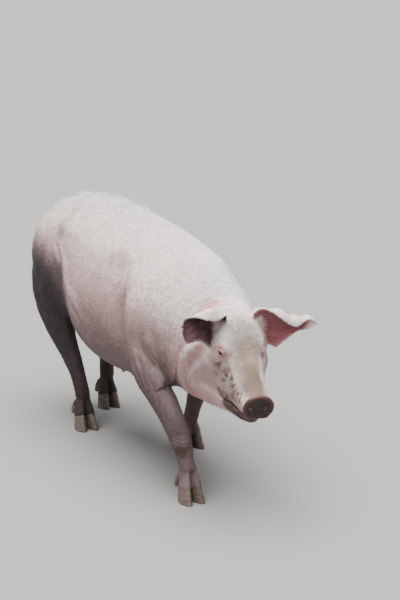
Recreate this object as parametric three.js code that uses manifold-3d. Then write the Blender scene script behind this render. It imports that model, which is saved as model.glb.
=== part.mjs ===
/**
 * A young domestic pig of about 120 kg, walking slowly with its head lowered and turned a little to its right.
 *
 * Millimetres. +X is the way it walks, +Y its left, +Z up, and the floor is at Z = 0. Trunk, head, legs, ears
 * and tail are lofted from ovals, joined where flesh runs on, and parted again with thin cuts into the pieces
 * that a person would name.
 */
import * as THREE from "three";
import { mergeVertices } from "three/addons/utils/BufferGeometryUtils.js";
import Module from "manifold-3d";

const wasm = await Module();
wasm.setup();

const GAP = 0.4; // width of the cuts between the pieces
const RIGHT = -1; // sign of Y on the pig's right side
const LEFT = 1;

// ---------------------------------------------------------------- driving sizes

// Trunk and neck: x, height of the back, height of the belly, half width, height of the widest place,
// shift to the left.
const TRUNK = [
  [-592, 654, 410, 140, 530, 0],
  [-520, 686, 388, 152, 524, 0],
  [-430, 706, 356, 162, 516, 0],
  [-340, 718, 312, 160, 500, 0],
  [-240, 720, 262, 164, 470, 0],
  [-130, 715, 236, 178, 445, 0],
  [-20, 706, 230, 184, 440, 0],
  [90, 694, 242, 182, 445, 0],
  [200, 671, 262, 174, 455, 0],
  [300, 643, 270, 162, 462, -3],
  [400, 601, 266, 138, 458, -9],
  [480, 574, 266, 118, 444, -15],
  [545, 554, 286, 98, 430, -23],
  [605, 524, 330, 70, 420, -35],
];
const TRUNK_SQUARE = 2.15; // 2 is an ellipse, more is boxier
const RUMP_ROUND = 140; // length of the rounded rear end
const NECK_ROUND = 40; // length of the rounded end inside the head
const NECK_CUT = { at: [372, 0, 450], way: [1, -0.05, -0.35] }; // trunk from neck
const POLL_CUT = { at: [508, -20, 470], way: [0.96, -0.12, 0.1] }; // neck from head

// Head frame: between the eyes, along the face towards the snout, to the pig's left and up.
const HEAD_AT = new THREE.Vector3(634, -43, 446);
const HEAD_PITCH = THREE.MathUtils.degToRad(34.6);
const HEAD_YAW = THREE.MathUtils.degToRad(-13.9);
const HEAD_ROLL = THREE.MathUtils.degToRad(-2.5);
// Skull and snout: along, top, bottom, half width, height of the widest place.
const SKULL = [
  [-145, 36, -160, 74, -70],
  [-105, 60, -185, 92, -90],
  [-60, 56, -190, 94, -94],
  [-10, 40, -176, 82, -88],
  [40, 26, -142, 64, -72],
  [85, 19, -104, 51, -48],
  [125, 19, -70, 42, -24],
  [155, 24, -46, 38, -11],
  [172, 30, -35, 40, -3],
  [180, 30, -33, 39, -1],
];
const SKULL_SQUARE = 2.1;
const SNOUT_CUT = 148; // along
const DISC_TILT = Math.tan(THREE.MathUtils.degToRad(17)); // the disc leans back from the head frame
const NOSTRIL = { along: 180, out: 18, up: -5, reach: [14, 6, 8] };
// Lower jaw, chin and jowl: along, top, bottom, half width, height of the widest place.
const JAW = [
  [-160, -60, -248, 88, -140],
  [-85, -50, -256, 99, -146],
  [-10, -50, -226, 84, -136],
  [46, -54, -174, 61, -113],
  [92, -50, -136, 41, -92],
  [132, -38, -98, 30, -70],
  [162, -30, -70, 22, -50],
];
const MOUTH = { corner: [70, -86], slope: THREE.MathUtils.degToRad(24) }; // along and up; rise forwards

const EYE_RADIUS = 12;
const EYE = { along: -1, out: 59, up: 1 }; // middle of the opening, on the skin
const EYE_WAY = new THREE.Vector3(0.36, 0.84, 0.4).normalize(); // out of the opening
const EYE_DEPTH = 13; // from the skin to the middle of the ball
const EYE_OPENING = [9.5, 12, 5.5]; // half length, half depth, half height

// Ears: share of the length, lower edge, fold line (each along, out and up), flap beyond the fold and its turn.
const EARS = {
  ear_left: [
    [-0.2, -46, 48, -11, -75, 27, 49, 4, 20],
    [0, -41, 80, -17, -85, 50, 74, 8, 60],
    [0.25, -16, 97, -3, -72, 89, 92, 22, 110],
    [0.45, -11, 110, 26, -54, 110, 100, 30, 130],
    [0.6, -8, 122, 49, -39, 127, 102, 34, 140],
    [0.75, -5, 139, 74, -27, 143, 107, 32, 150],
    [0.9, 8, 155, 89, -17, 159, 119, 18, 120],
    [1, 14, 176, 104, 3, 177, 119, 4, 90],
  ],
  ear_right: [
    [-0.2, -44, 40, -13, -72, 29, 47, 6, 40],
    [0, -37, 68, -16, -82, 48, 74, 22, 90],
    [0.2, -20, 83, 0, -93, 69, 89, 48, 140],
    [0.4, -11, 97, 21, -87, 93, 92, 46, 140],
    [0.6, -5, 117, 42, -71, 119, 87, 30, 130],
    [0.75, 5, 135, 54, -54, 146, 81, 11, 90],
    [0.88, 15, 152, 58, -42, 167, 79, 3, 40],
    [1, 20, 166.4, 64, 12, 168.3, 71, 1, 20],
  ],
};
const EAR_ROOT = { at: [-82, 62, 22], reach: [24, 46, 22], way: [-0.36, -0.22, 0.9] }; // mound under the ear
const EAR_THICK = [10, 4.6]; // at the root and at the tip
const EAR_CUP = 0.9; // how far the ear is hollowed, radians across

// Legs: place, half length fore and aft and half width, from inside the trunk down to the fetlock.
const LEGS = {
  front_right: [
    [[235, -100, 520], 66, 34],
    [[245, -122, 425], 80, 44],
    [[278, -136, 345], 64, 45],
    [[352, -128, 268], 44, 38],
    [[404, -120, 212], 35, 32],
    [[432, -112, 160], 31, 29],
    [[446, -105, 110], 25, 23],
    [[456, -100, 76], 28, 27],
  ],
  front_left: [
    [[245, 100, 520], 66, 34],
    [[240, 122, 425], 80, 44],
    [[198, 132, 340], 64, 45],
    [[146, 127, 262], 44, 38],
    [[114, 124, 212], 36, 32],
    [[92, 122, 168], 30, 29],
    [[72, 120, 118], 25, 23],
    [[58, 118, 80], 28, 27],
  ],
  hind_right: [
    [[-400, -88, 560], 120, 50],
    [[-415, -110, 460], 128, 54],
    [[-400, -116, 370], 98, 48],
    [[-362, -108, 285], 60, 38],
    [[-324, -95, 218], 39, 29],
    [[-280, -89, 150], 26, 24],
    [[-258, -85, 84], 28, 27],
  ],
  hind_left: [
    [[-400, 88, 560], 120, 50],
    [[-420, 110, 460], 128, 54],
    [[-418, 114, 370], 98, 48],
    [[-432, 100, 285], 60, 38],
    [[-448, 88, 218], 39, 29],
    [[-444, 82, 150], 26, 24],
    [[-436, 78, 84], 28, 27],
  ],
};
const HOCK = { at: [-34, 0, 14], reach: [26, 60, 26], push: [-14, 0, 6] };
const KNEE = { front: 168, hind: 236 }; // height of the cut across each leg
// Digits, from the fetlock: forwards, outwards and up, half length and half width.
const MAIN_DIGIT = [
  [[-2, 9, 22], 20, 14],
  [[5, 14, -18], 22, 15],
  [[11, 17, -44], 24, 16],
  [[21, 20, -80], 30, 16],
  [[24, 20, -96], 30, 15],
];
const DEW_DIGIT = [
  [[-12, 14, 12], 12, 9],
  [[-23, 19, -6], 11, 9],
  [[-28, 22, -27], 9, 8],
  [[-30, 24, -44], 6, 6],
];
const MAIN_CLAW = { below: -46, slope: 0.35 }; // the claw starts here under the fetlock, lower at the heel
const DEW_CLAW = { below: -18, slope: 0 };

// Tail: one loop hanging to the left of its root.
const TAIL = { root: [-560, 0, 606], loopAt: [-668, 0, 578], loop: 31, aside: 62, turns: 1.35, thick: [15, 4] };

// Points around and rows along each loft or ball.
const MESH = {
  trunk: [28, 30],
  skull: [22, 20],
  jaw: [14, 10],
  ear: [14, 13],
  mound: [9, 6],
  eyeball: [10, 8],
  opening: [10, 6],
  nostril: [8, 6],
  leg: [11, 15],
  mainDigit: [8, 6],
  dewDigit: [7, 4],
  tail: [6, 21],
};
const LOOKS = {
  claw: { color: 0x8a7663, roughness: 0.6 },
  eye: { color: 0x2a1c18, roughness: 0.1 },
  flesh: { color: 0xd9b9ab, roughness: 0.8 },
};

// ---------------------------------------------------------------- tools

const vec = (x, y, z) => new THREE.Vector3(x, y, z);

/** Smooth sizes between the rows of a table, whose first column is the place. */
function between(rows) {
  const places = new Float32Array(rows.map((row) => row[0]));
  const sizes = new Float32Array(rows.flatMap((row) => row.slice(1)));
  const curve = new THREE.CubicInterpolant(places, sizes, rows[0].length - 1);
  return (place) => Array.from(curve.evaluate(place));
}

/** cos or sin drawn out towards a box: exponent 2 leaves it round. */
const boxed = (value, square) => Math.sign(value) * Math.abs(value) ** (2 / square);

/** How far a rounded end has opened at a distance from its tip. */
const opened = (distance, round) =>
  distance < round ? Math.sqrt(Math.max(0, 1 - (1 - distance / round) ** 2)) : 1;

/** Rows crowd towards both ends, where a loft rounds off. */
const eased = (along) => (1 - Math.cos(Math.PI * along)) / 2;

/** A geometry as a manifold-3d solid, with its faces turned outwards. */
function solid(geometry) {
  geometry.deleteAttribute("normal");
  geometry.deleteAttribute("uv");
  const merged = mergeVertices(geometry, 1e-3);
  const vertProperties = merged.attributes.position.array;
  const triVerts = new Uint32Array(merged.index.array);
  const make = () => new wasm.Manifold(new wasm.Mesh({ numProp: 3, vertProperties, triVerts }));
  const made = make();
  if (made.volume() > 0) return made;
  triVerts.reverse();
  return make();
}

/** A solid from a unit sphere whose points move to place(turn, along), with along from 0 to 1. */
function mould([around, rows], place) {
  const sphere = new THREE.SphereGeometry(1, around, rows);
  const { position, uv } = sphere.attributes;
  for (let i = 0; i < position.count; i++) {
    const point = place(uv.getX(i) * 2 * Math.PI, 1 - uv.getY(i));
    position.setXYZ(i, point.x, point.y, point.z);
  }
  return solid(sphere);
}

/** Loft through ovals. ringAt(along) gives centre, across, up, half, top, bottom and square. */
function loft(mesh, ringAt, shape = (point) => point) {
  const rows = mesh[1];
  const rings = Array.from({ length: rows + 1 }, (_, row) => ringAt(row / rows));
  return mould(mesh, (turn, along) => {
    const ring = rings[Math.round(along * rows)];
    const side = boxed(Math.cos(turn), ring.square) * ring.half;
    const rise = boxed(Math.sin(turn), ring.square);
    return shape(
      ring.centre
        .clone()
        .addScaledVector(ring.across, side)
        .addScaledVector(ring.up, rise * (rise > 0 ? ring.top : ring.bottom)),
    );
  });
}

/** Pushes a point by each swelling, which fades with distance: at, reach and push are vectors. */
function swell(point, swellings) {
  const moved = point.clone();
  for (const { at, reach, push } of swellings) {
    const away = point.clone().sub(at).divide(reach).lengthSq();
    moved.addScaledVector(push, Math.exp(-away));
  }
  return moved;
}

/** The same swelling on both sides of the body. */
const bothSides = (swellings) =>
  swellings.flatMap(({ at, reach, push }) =>
    [RIGHT, LEFT].map((side) => ({
      at: vec(at[0], at[1] * side, at[2]),
      reach: vec(...reach),
      push: vec(push[0], push[1] * side, push[2]),
    })),
  );

/** The solids run together into one. */
const join = (solids) => solids.reduce((a, b) => a.add(b));

/** The largest of a solid's loose bodies. */
const largest = (whole) =>
  whole.decompose().reduce((a, b) => (a.volume() > b.volume() ? a : b));

/** A solid parted by a plane at a place: the part ahead of it and the part behind, a GAP from each other. */
function parted(whole, at, way) {
  const normal = vec(...way).normalize();
  const level = normal.dot(vec(...at));
  const ahead = whole.trimByPlane(normal.toArray(), level + GAP / 2);
  const behind = whole.trimByPlane(normal.clone().negate().toArray(), -level + GAP / 2);
  return [ahead, behind];
}

// ---------------------------------------------------------------- trunk and neck

const MUSCLES = bothSides([
  { at: [285, 150, 430], reach: [85, 90, 150], push: [0, 12, 0] }, // shoulder
  { at: [185, 175, 420], reach: [26, 80, 120], push: [0, -10, 0] }, // hollow behind the shoulder
  { at: [-20, 175, 380], reach: [150, 90, 120], push: [0, 6, -2] }, // barrel
  { at: [-275, 165, 390], reach: [42, 80, 110], push: [0, -20, 0] }, // flank
  { at: [-430, 150, 500], reach: [100, 90, 140], push: [0, 8, 0] }, // ham
]);

function trunkAndNeck(grown = 0) {
  const sizes = between(TRUNK);
  const first = TRUNK[0][0];
  const last = TRUNK.at(-1)[0];
  const ringAt = (along) => {
    const x = THREE.MathUtils.lerp(first, last, eased(along));
    const [back, belly, half, widest, shift] = sizes(x);
    const open = opened(x - first, RUMP_ROUND) * opened(last - x, NECK_ROUND);
    return {
      centre: vec(x, shift, widest),
      across: vec(0, 1, 0),
      up: vec(0, 0, 1),
      half: (half + grown) * open,
      top: (back - widest + grown) * open,
      bottom: (widest - belly + grown) * open,
      square: TRUNK_SQUARE,
    };
  };
  return loft(MESH.trunk, ringAt, (point) => swell(point, MUSCLES));
}

// ---------------------------------------------------------------- head

const headTurn = new THREE.Matrix4()
  .makeTranslation(HEAD_AT)
  .multiply(new THREE.Matrix4().makeRotationZ(HEAD_YAW))
  .multiply(new THREE.Matrix4().makeRotationY(HEAD_PITCH))
  .multiply(new THREE.Matrix4().makeRotationX(HEAD_ROLL));

/** A place in the head's own frame as a place in the body's frame. */
const onHead = (along, left, up) => vec(along, left, up).applyMatrix4(headTurn);

const FACE = bothSides([
  { at: [-14, 54, 30], reach: [26, 24, 20], push: [2, 3, 5] }, // brow
  { at: [2, 66, 4], reach: [20, 22, 15], push: [0, -2, -1] }, // eye socket
  { at: [-25, 88, -55], reach: [55, 40, 40], push: [0, 6, 0] }, // cheek
  { at: [70, 48, -14], reach: [34, 30, 18], push: [0, -4, 0] }, // hollow before the eye
]);

/** Leans the end of the snout back, so that the disc faces along the snout and not along the face. */
function leant(point) {
  const share = THREE.MathUtils.smoothstep(point.x, 110, 172);
  return vec(point.x - DISC_TILT * point.z * share, point.y, point.z);
}

/** Loft along the face from a table of sizes, flat in front where frontRound is 0. */
function faceLoft(table, mesh, rearRound, frontRound, grown, shape) {
  const rows = mesh[1];
  const sizes = between(table);
  const first = table[0][0];
  const last = table.at(-1)[0];
  const flat = frontRound === 0;
  const ringAt = (along) => {
    const share = flat ? Math.min(1, (along * rows) / (rows - 1)) : eased(along);
    const place = THREE.MathUtils.lerp(first, last, share);
    const [top, bottom, half, widest] = sizes(place);
    const closed = flat ? Number(along < 1) : opened(last - place, frontRound);
    const open = opened(place - first, rearRound) * closed;
    return {
      centre: vec(place, 0, widest),
      across: vec(0, 1, 0),
      up: vec(0, 0, 1),
      half: (half + grown) * open,
      top: (top - widest + grown) * open,
      bottom: (widest - bottom + grown) * open,
      square: SKULL_SQUARE,
    };
  };
  return loft(mesh, ringAt, (point) => shape(point).applyMatrix4(headTurn));
}

const skull = (grown = 0) =>
  faceLoft(SKULL, MESH.skull, 46, 0, grown, (point) => leant(swell(point, FACE)));
const jaw = (grown = 0) => faceLoft(JAW, MESH.jaw, 60, 30, grown, leant);

/** An oval ball in the head, placed as on the left side, whose second half size points along a way. */
function ball(side, at, reach, way, mesh) {
  const turn = new THREE.Quaternion().setFromUnitVectors(vec(0, 1, 0), way);
  const geometry = new THREE.SphereGeometry(1, ...mesh).scale(...reach).applyQuaternion(turn);
  return solid(geometry.translate(...at.toArray()).scale(1, side, 1).applyMatrix4(headTurn));
}

/** The eyeball with the hole that it and its opening leave in the head, on one side. */
function eye(side) {
  const skin = vec(EYE.along, EYE.out, EYE.up);
  const middle = skin.clone().addScaledVector(EYE_WAY, -EYE_DEPTH);
  const round = (grown) =>
    ball(side, middle, new Array(3).fill(EYE_RADIUS + grown), EYE_WAY, MESH.eyeball);
  const opening = ball(side, skin, EYE_OPENING, EYE_WAY, MESH.opening);
  return { eyeball: round(0), hole: round(GAP).add(opening) };
}

/** A leaf between a lower edge and a fold line, with a flap turned over beyond the fold. */
function ear(rows, side) {
  const sizes = between(rows);
  const first = rows[0][0];
  const STEPS = 40;
  const lineAt = (share) => {
    const [ea, eo, eu, fa, fo, fu, flap, turn] = sizes(share);
    const edge = vec(ea, eo * side, eu);
    const fold = vec(fa, fo * side, fu);
    return { edge, fold, flap, turn: THREE.MathUtils.degToRad(turn) };
  };
  const sectionAt = (along) => {
    const share = THREE.MathUtils.lerp(first, 1, along);
    const here = lineAt(share);
    const middle = (line) => line.edge.clone().add(line.fold);
    const onward = middle(lineAt(Math.min(1, share + 0.03))).sub(middle(lineAt(share - 0.03)));
    const across = here.fold.clone().sub(here.edge);
    const width = across.length();
    across.normalize();
    const inner = new THREE.Vector3().crossVectors(onward, across).multiplyScalar(side).normalize();
    const whole = width + here.flap;
    const points = [];
    const spot = here.edge.clone();
    for (let i = 0; i <= STEPS; i++) {
      const reached = (i / STEPS) * whole;
      const cup = EAR_CUP * (Math.min(reached / width, 1) - 0.5);
      const bend = cup + here.turn * THREE.MathUtils.smoothstep(reached, width - 8, width + 10);
      const step = across.clone().multiplyScalar(Math.cos(bend)).addScaledVector(inner, Math.sin(bend));
      const out = inner.clone().multiplyScalar(Math.cos(bend)).addScaledVector(across, -Math.sin(bend));
      points.push({ spot: spot.clone(), out });
      spot.addScaledVector(step, whole / STEPS);
    }
    const thick = THREE.MathUtils.lerp(...EAR_THICK, along) / 2;
    return { points, thick, open: opened(along, 0.06) * opened(1 - along, 0.1) };
  };
  const lengths = MESH.ear[1];
  const sections = Array.from({ length: lengths + 1 }, (_, row) => sectionAt(row / lengths));
  return mould(MESH.ear, (turn, along) => {
    const { points, thick, open } = sections[Math.round(along * lengths)];
    const place = Math.min(STEPS - 1e-6, STEPS * (0.5 + (Math.cos(turn) / 2) * open));
    const [before, after] = points.slice(Math.floor(place), Math.floor(place) + 2);
    const spot = before.spot.clone().lerp(after.spot, place % 1);
    const out = before.out.clone().lerp(after.out, place % 1);
    const deep = boxed(Math.sin(turn), 3.5) * thick * open;
    return spot.addScaledVector(out, deep).applyMatrix4(headTurn);
  });
}

// ---------------------------------------------------------------- legs and tail

/** Loft down a leg through its joints. */
function leg(joints, swellings) {
  const line = new THREE.CatmullRomCurve3(joints.map(([place]) => vec(...place)));
  const sizes = between(joints.map(([, long, wide], i) => [i, long, wide]));
  const ringAt = (along) => {
    const share = eased(along);
    const across = vec(0, 1, 0);
    const fore = new THREE.Vector3().crossVectors(across, line.getTangent(share)).normalize();
    const [long, wide] = sizes(share * (joints.length - 1));
    const open = Math.min(opened(share, 0.06), opened(1 - share, 0.06));
    return {
      centre: line.getPoint(share),
      across,
      up: fore,
      half: wide * open,
      top: long * open,
      bottom: long * open,
      square: 2,
    };
  };
  return loft(MESH.leg, ringAt, (point) => swell(point, swellings));
}

/** The point of the hock, behind a hind leg's joint above the cannon. */
const hock = (joints) => [
  { at: vec(...joints.at(-3)[0]).add(vec(...HOCK.at)), reach: vec(...HOCK.reach), push: vec(...HOCK.push) },
];

/** A digit below a fetlock, parted into the finger and its claw. The toe is pointed by a share of its width. */
function digit(table, fetlock, side, { below, slope }, mesh, pointed) {
  const places = table.map(([[fore, out, up]]) => vec(fore, out * side, up).add(fetlock));
  const line = new THREE.CatmullRomCurve3(places);
  const sizes = between(table.map(([, long, wide], i) => [i, long, wide]));
  const whole = mould(mesh, (turn, along) => {
    const share = eased(along);
    const [long, wide] = sizes(share * (table.length - 1));
    const open = Math.min(opened(share, 0.12), opened(1 - share, 0.12));
    const fore = Math.cos(turn);
    const narrow = 1 - pointed * fore;
    return line.getPoint(share).add(vec(long * open * fore, wide * open * Math.sin(turn) * narrow, 0));
  });
  const onFloor = whole.trimByPlane([0, 0, 1], 0);
  const cut = fetlock.clone().add(vec(0, 0, below));
  const [finger, claw] = parted(onFloor, cut.toArray(), [-slope, 0, 1]);
  return { finger, claw };
}

/** A tapering tube in a loop. */
function tail() {
  const { root, loopAt, loop, aside, turns, thick } = TAIL;
  const places = [vec(...root), vec(root[0] - 38, 0, root[2] + 8)];
  const STEPS = 12;
  for (let i = 1; i <= STEPS; i++) {
    const share = i / STEPS;
    const angle = THREE.MathUtils.degToRad(70) + share * turns * 2 * Math.PI;
    const reach = loop * (1 - 0.25 * share);
    places.push(
      vec(...loopAt).add(vec(reach * Math.cos(angle), aside * share ** 1.3, reach * Math.sin(angle))),
    );
  }
  const line = new THREE.CatmullRomCurve3(places);
  const rows = MESH.tail[1];
  const frames = line.computeFrenetFrames(rows);
  const ringAt = (along) => {
    const row = Math.round(along * rows);
    const half = THREE.MathUtils.lerp(...thick, along) * opened(along, 0.04) * opened(1 - along, 0.06);
    return {
      centre: line.getPointAt(along),
      across: frames.normals[row],
      up: frames.binormals[row],
      half,
      top: half,
      bottom: half,
      square: 2,
    };
  };
  return loft(MESH.tail, ringAt);
}

// ---------------------------------------------------------------- whole

const parts = {};

/** Skull, jaw and the mounds under the ears in one. */
function wholeHead(grown = 0) {
  const { at, reach, way } = EAR_ROOT;
  const wide = reach.map((size) => size + grown);
  const mounds = [RIGHT, LEFT].map((side) =>
    ball(side, vec(...at), wide, vec(...way).normalize(), MESH.mound),
  );
  return join([skull(grown), jaw(grown), ...mounds]);
}
const torso = trunkAndNeck();
const torsoGrown = trunkAndNeck(GAP);

const [ahead, trunk] = parted(torso.add(wholeHead()), NECK_CUT.at, NECK_CUT.way);
const [faceWhole, neck] = parted(ahead, POLL_CUT.at, POLL_CUT.way);
parts.trunk = trunk;
parts.neck = neck;

// The jaw is everything of the face below the mouth and ahead of its corner.
function belowMouth(shrunk) {
  const [along, up] = MOUTH.corner;
  const box = new THREE.BoxGeometry(400, 400, 400)
    .translate(200 + shrunk, 0, -200 - shrunk)
    .rotateY(-MOUTH.slope)
    .translate(along, 0, up);
  return solid(box.applyMatrix4(headTurn));
}
const eyes = { right: eye(RIGHT), left: eye(LEFT) };
let face = faceWhole;
for (const [name, { eyeball, hole }] of Object.entries(eyes)) {
  parts[`eye_${name}`] = eyeball;
  face = face.subtract(hole);
}
for (const side of [RIGHT, LEFT]) {
  const { along, out, up, reach } = NOSTRIL;
  face = face.subtract(ball(side, leant(vec(along, out, up)), reach, vec(0, 1, 0), MESH.nostril));
}
parts.jaw = largest(face.intersect(belowMouth(GAP)));
const upperFace = largest(face.subtract(belowMouth(0)));
const snoutWay = onHead(1, 0, DISC_TILT).sub(onHead(0, 0, 0));
const [snout, skullLeft] = parted(upperFace, onHead(SNOUT_CUT, 0, 0).toArray(), snoutWay.toArray());
parts.snout = snout;
parts.head = skullLeft;

const headGrown = wholeHead(GAP).add(torsoGrown);
for (const [name, rows] of Object.entries(EARS)) {
  const whole = ear(rows, name.endsWith("left") ? LEFT : RIGHT);
  parts[name] = largest(whole.subtract(headGrown));
}

for (const [name, joints] of Object.entries(LEGS)) {
  const fetlock = vec(...joints.at(-1)[0]);
  const fingers = [];
  for (const [where, side] of [["right", RIGHT], ["left", LEFT]]) {
    const main = digit(MAIN_DIGIT, fetlock, side, MAIN_CLAW, MESH.mainDigit, 0.38);
    const dew = digit(DEW_DIGIT, fetlock, side, DEW_CLAW, MESH.dewDigit, 0.2);
    fingers.push(main.finger, dew.finger);
    parts[`claw_${name}_${where}`] = main.claw;
    parts[`dewclaw_${name}_${where}`] = dew.claw;
  }
  const end = name.split("_")[0];
  const shank = leg(joints, end === "hind" ? hock(joints) : []);
  const bare = largest(join([shank, ...fingers]).subtract(torsoGrown));
  const knee = KNEE[end];
  const [upper, lower] = parted(bare, [0, 0, knee], [0, 0, 1]);
  parts[`${name}_upper_leg`] = upper;
  parts[`${name}_lower_leg`] = lower;
}
parts.tail = largest(tail().subtract(torsoGrown));

/** A solid as a named mesh. */
function node(name, part) {
  const { numProp, vertProperties, triVerts } = part.getMesh();
  const geometry = new THREE.BufferGeometry();
  geometry.setAttribute("position", new THREE.BufferAttribute(vertProperties, numProp));
  geometry.setIndex(new THREE.BufferAttribute(triVerts, 1));
  const kind = name.includes("claw") ? "claw" : name.startsWith("eye") ? "eye" : "flesh";
  const mesh = new THREE.Mesh(geometry, new THREE.MeshStandardMaterial({ ...LOOKS[kind], metalness: 0 }));
  mesh.name = name;
  return mesh;
}

const pig = new THREE.Group();
pig.name = "pig";
for (const [name, part] of Object.entries(parts)) pig.add(node(name, part));

// The origin is on the floor under the middle of the whole.
const middle = new THREE.Box3().setFromObject(pig).getCenter(new THREE.Vector3());
for (const mesh of pig.children) mesh.geometry.translate(-middle.x, -middle.y, 0);
export default pig;
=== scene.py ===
"""A still, life-size pig in a slow walk: one skin under a coat of bristles, with its eyes and claws.

Metres. +X is the way the pig walks, +Y its left and +Z up, and the floor is at Z = 0. The skin is made from
copies of the frame's pieces of flesh, run together, smoothed and worked over. A second frame, the head's own,
has its origin between the eyes, with x along the face towards the snout, y to the pig's left and z up.
"""

import logging
import math
from collections.abc import Iterable
from dataclasses import dataclass, field
from enum import Enum

import bmesh
import bpy
import numpy as np
from bpy.types import Camera, Light, Material, Mesh, NodeSocket, Object
from mathutils import Matrix, Vector
from mathutils.bvhtree import BVHTree
from mathutils.kdtree import KDTree


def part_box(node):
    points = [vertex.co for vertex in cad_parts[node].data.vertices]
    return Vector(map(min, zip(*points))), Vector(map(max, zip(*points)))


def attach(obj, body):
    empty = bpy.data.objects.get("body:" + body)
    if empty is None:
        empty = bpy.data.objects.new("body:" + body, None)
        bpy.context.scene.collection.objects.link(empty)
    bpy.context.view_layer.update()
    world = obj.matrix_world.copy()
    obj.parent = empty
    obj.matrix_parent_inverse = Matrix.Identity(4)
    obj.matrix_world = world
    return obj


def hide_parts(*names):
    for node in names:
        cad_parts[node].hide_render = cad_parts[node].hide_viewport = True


logging.basicConfig(level=logging.INFO, format="%(message)s")
log = logging.getLogger("pig")

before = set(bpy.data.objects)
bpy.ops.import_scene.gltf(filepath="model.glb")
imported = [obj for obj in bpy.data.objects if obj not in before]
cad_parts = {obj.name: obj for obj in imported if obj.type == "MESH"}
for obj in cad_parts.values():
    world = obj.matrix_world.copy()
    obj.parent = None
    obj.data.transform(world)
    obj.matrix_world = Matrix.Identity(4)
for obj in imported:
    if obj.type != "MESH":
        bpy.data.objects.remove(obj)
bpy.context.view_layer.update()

Array = np.ndarray
Triple = tuple[float, float, float]
MM = 0.001
WELD = 0.001 * MM  # points nearer than this are one
MIDDLE = 0.014  # where the body's middle plane lies across the floor
SIDES = {"right": -1, "left": 1}


# -------- tools


def unit(vector: Iterable[float]) -> Array:
    """A vector drawn to length 1."""
    array = np.asarray(vector, float)
    return array / np.linalg.norm(array, axis=-1, keepdims=True)


def step(values: Array, low: float, high: float) -> Array:
    """A smooth rise from 0 at low to 1 at high; it falls where low is above high."""
    share = np.clip((values - low) / (high - low), 0, 1)
    return share * share * (3 - 2 * share)


def bell(values: Array, width: float) -> Array:
    """A bell curve of height 1 round 0."""
    return np.exp(-((values / width) ** 2))


class Noise:
    """Smooth seeded noise in space, from -1 to 1."""

    SIZE = 4096

    def __init__(self, seed: int) -> None:
        """Fill the table of random values from the noise's own seed."""
        self.table = np.random.default_rng(seed).uniform(-1, 1, self.SIZE)

    def __call__(self, points: Array, size: float) -> Array:
        """Noise whose bumps are about a size across.

        Args:
            points: places, one a row.
            size: width of a bump.

        Returns:
            One value for each place.
        """
        scaled = points / size
        cell = np.floor(scaled).astype(np.int64)
        share = scaled - cell
        share = share * share * (3 - 2 * share)
        total = np.zeros(len(points))
        for corner in np.ndindex(2, 2, 2):
            place = cell + corner
            mixed = place[:, 0] * 73856093 ^ place[:, 1] * 19349663 ^ place[:, 2] * 83492791
            weight = np.prod(np.where(corner, share, 1 - share), axis=1)
            total += weight * self.table[mixed % self.SIZE]
        return total


NOISE = Noise(7)


def add_object(name: str, mesh: Mesh) -> Object:
    """A mesh as an object of the scene.

    Args:
        name: the object's name.
        mesh: its mesh, in place.

    Returns:
        The new object, at the origin.
    """
    mesh.name = name
    made = bpy.data.objects.new(name, mesh)
    bpy.context.scene.collection.objects.link(made)
    return made


def add_aimed(name: str, data: Camera | Light, way: Vector) -> Object:
    """A camera or light as an object of the scene, turned to look along a way.

    Args:
        name: its name.
        data: the camera or light.
        way: the way it looks.

    Returns:
        The object.
    """
    made = bpy.data.objects.new(name, data)
    bpy.context.scene.collection.objects.link(made)
    made.rotation_mode = "QUATERNION"
    made.rotation_quaternion = way.to_track_quat("-Z", "Y")
    return made


def modified(mesh: Mesh, kind: str, **settings: object) -> Mesh:
    """A mesh with one modifier worked in.

    Args:
        mesh: the mesh to change, which is thrown away.
        kind: the modifier's type.
        settings: its settings.

    Returns:
        The changed mesh.
    """
    carrier = add_object("carrier", mesh)
    modifier = carrier.modifiers.new(kind, kind)
    for name, value in settings.items():
        setattr(modifier, name, value)
    graph = bpy.context.evaluated_depsgraph_get()
    changed = bpy.data.meshes.new_from_object(carrier.evaluated_get(graph))
    bpy.data.objects.remove(carrier)
    bpy.data.meshes.remove(mesh)
    return changed


def mesh_of(name: str, points: Array, triangles: Array) -> Mesh:
    """A mesh of triangles from arrays.

    Args:
        name: the mesh's name.
        points: its points.
        triangles: three points' numbers a row.

    Returns:
        The new mesh.
    """
    mesh = bpy.data.meshes.new(name)
    mesh.vertices.add(len(points))
    mesh.vertices.foreach_set("co", points.astype(np.float32).ravel())
    mesh.loops.add(triangles.size)
    mesh.loops.foreach_set("vertex_index", triangles.astype(np.int32).ravel())
    mesh.polygons.add(len(triangles))
    mesh.polygons.foreach_set("loop_start", np.arange(0, triangles.size, 3, dtype=np.int32))
    mesh.update(calc_edges=True)
    return mesh


def note(mesh: Mesh, name: str, values: Array) -> None:
    """Keep a number or a colour at each point of a mesh, for its finish to read.

    Args:
        mesh: the mesh.
        name: the attribute's name.
        values: one number, or three of a colour, for each point.
    """
    if values.ndim == 1:
        mesh.attributes.new(name, "FLOAT", "POINT").data.foreach_set("value", values.astype(np.float32))
        return
    colours = np.ones((len(values), 4), np.float32)
    colours[:, :3] = values
    mesh.attributes.new(name, "FLOAT_COLOR", "POINT").data.foreach_set("color", colours.ravel())


def read_rows(items: object, name: str, width: int, kind: type = np.float32) -> Array:
    """One property of all of a mesh's points, edges, faces or corners.

    Args:
        items: the mesh's collection.
        name: the property.
        width: how many numbers each item has.
        kind: the numbers' type in the mesh.

    Returns:
        One row for each item.
    """
    flat = np.empty(len(items) * width, kind)
    items.foreach_get(name, flat)
    return flat.reshape(-1, width).astype(float if kind is np.float32 else kind)


def smooth_shaded(mesh: Mesh) -> Mesh:
    """The mesh, with its faces shaded smooth."""
    mesh.polygons.foreach_set("use_smooth", [True] * len(mesh.polygons))
    return mesh


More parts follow.
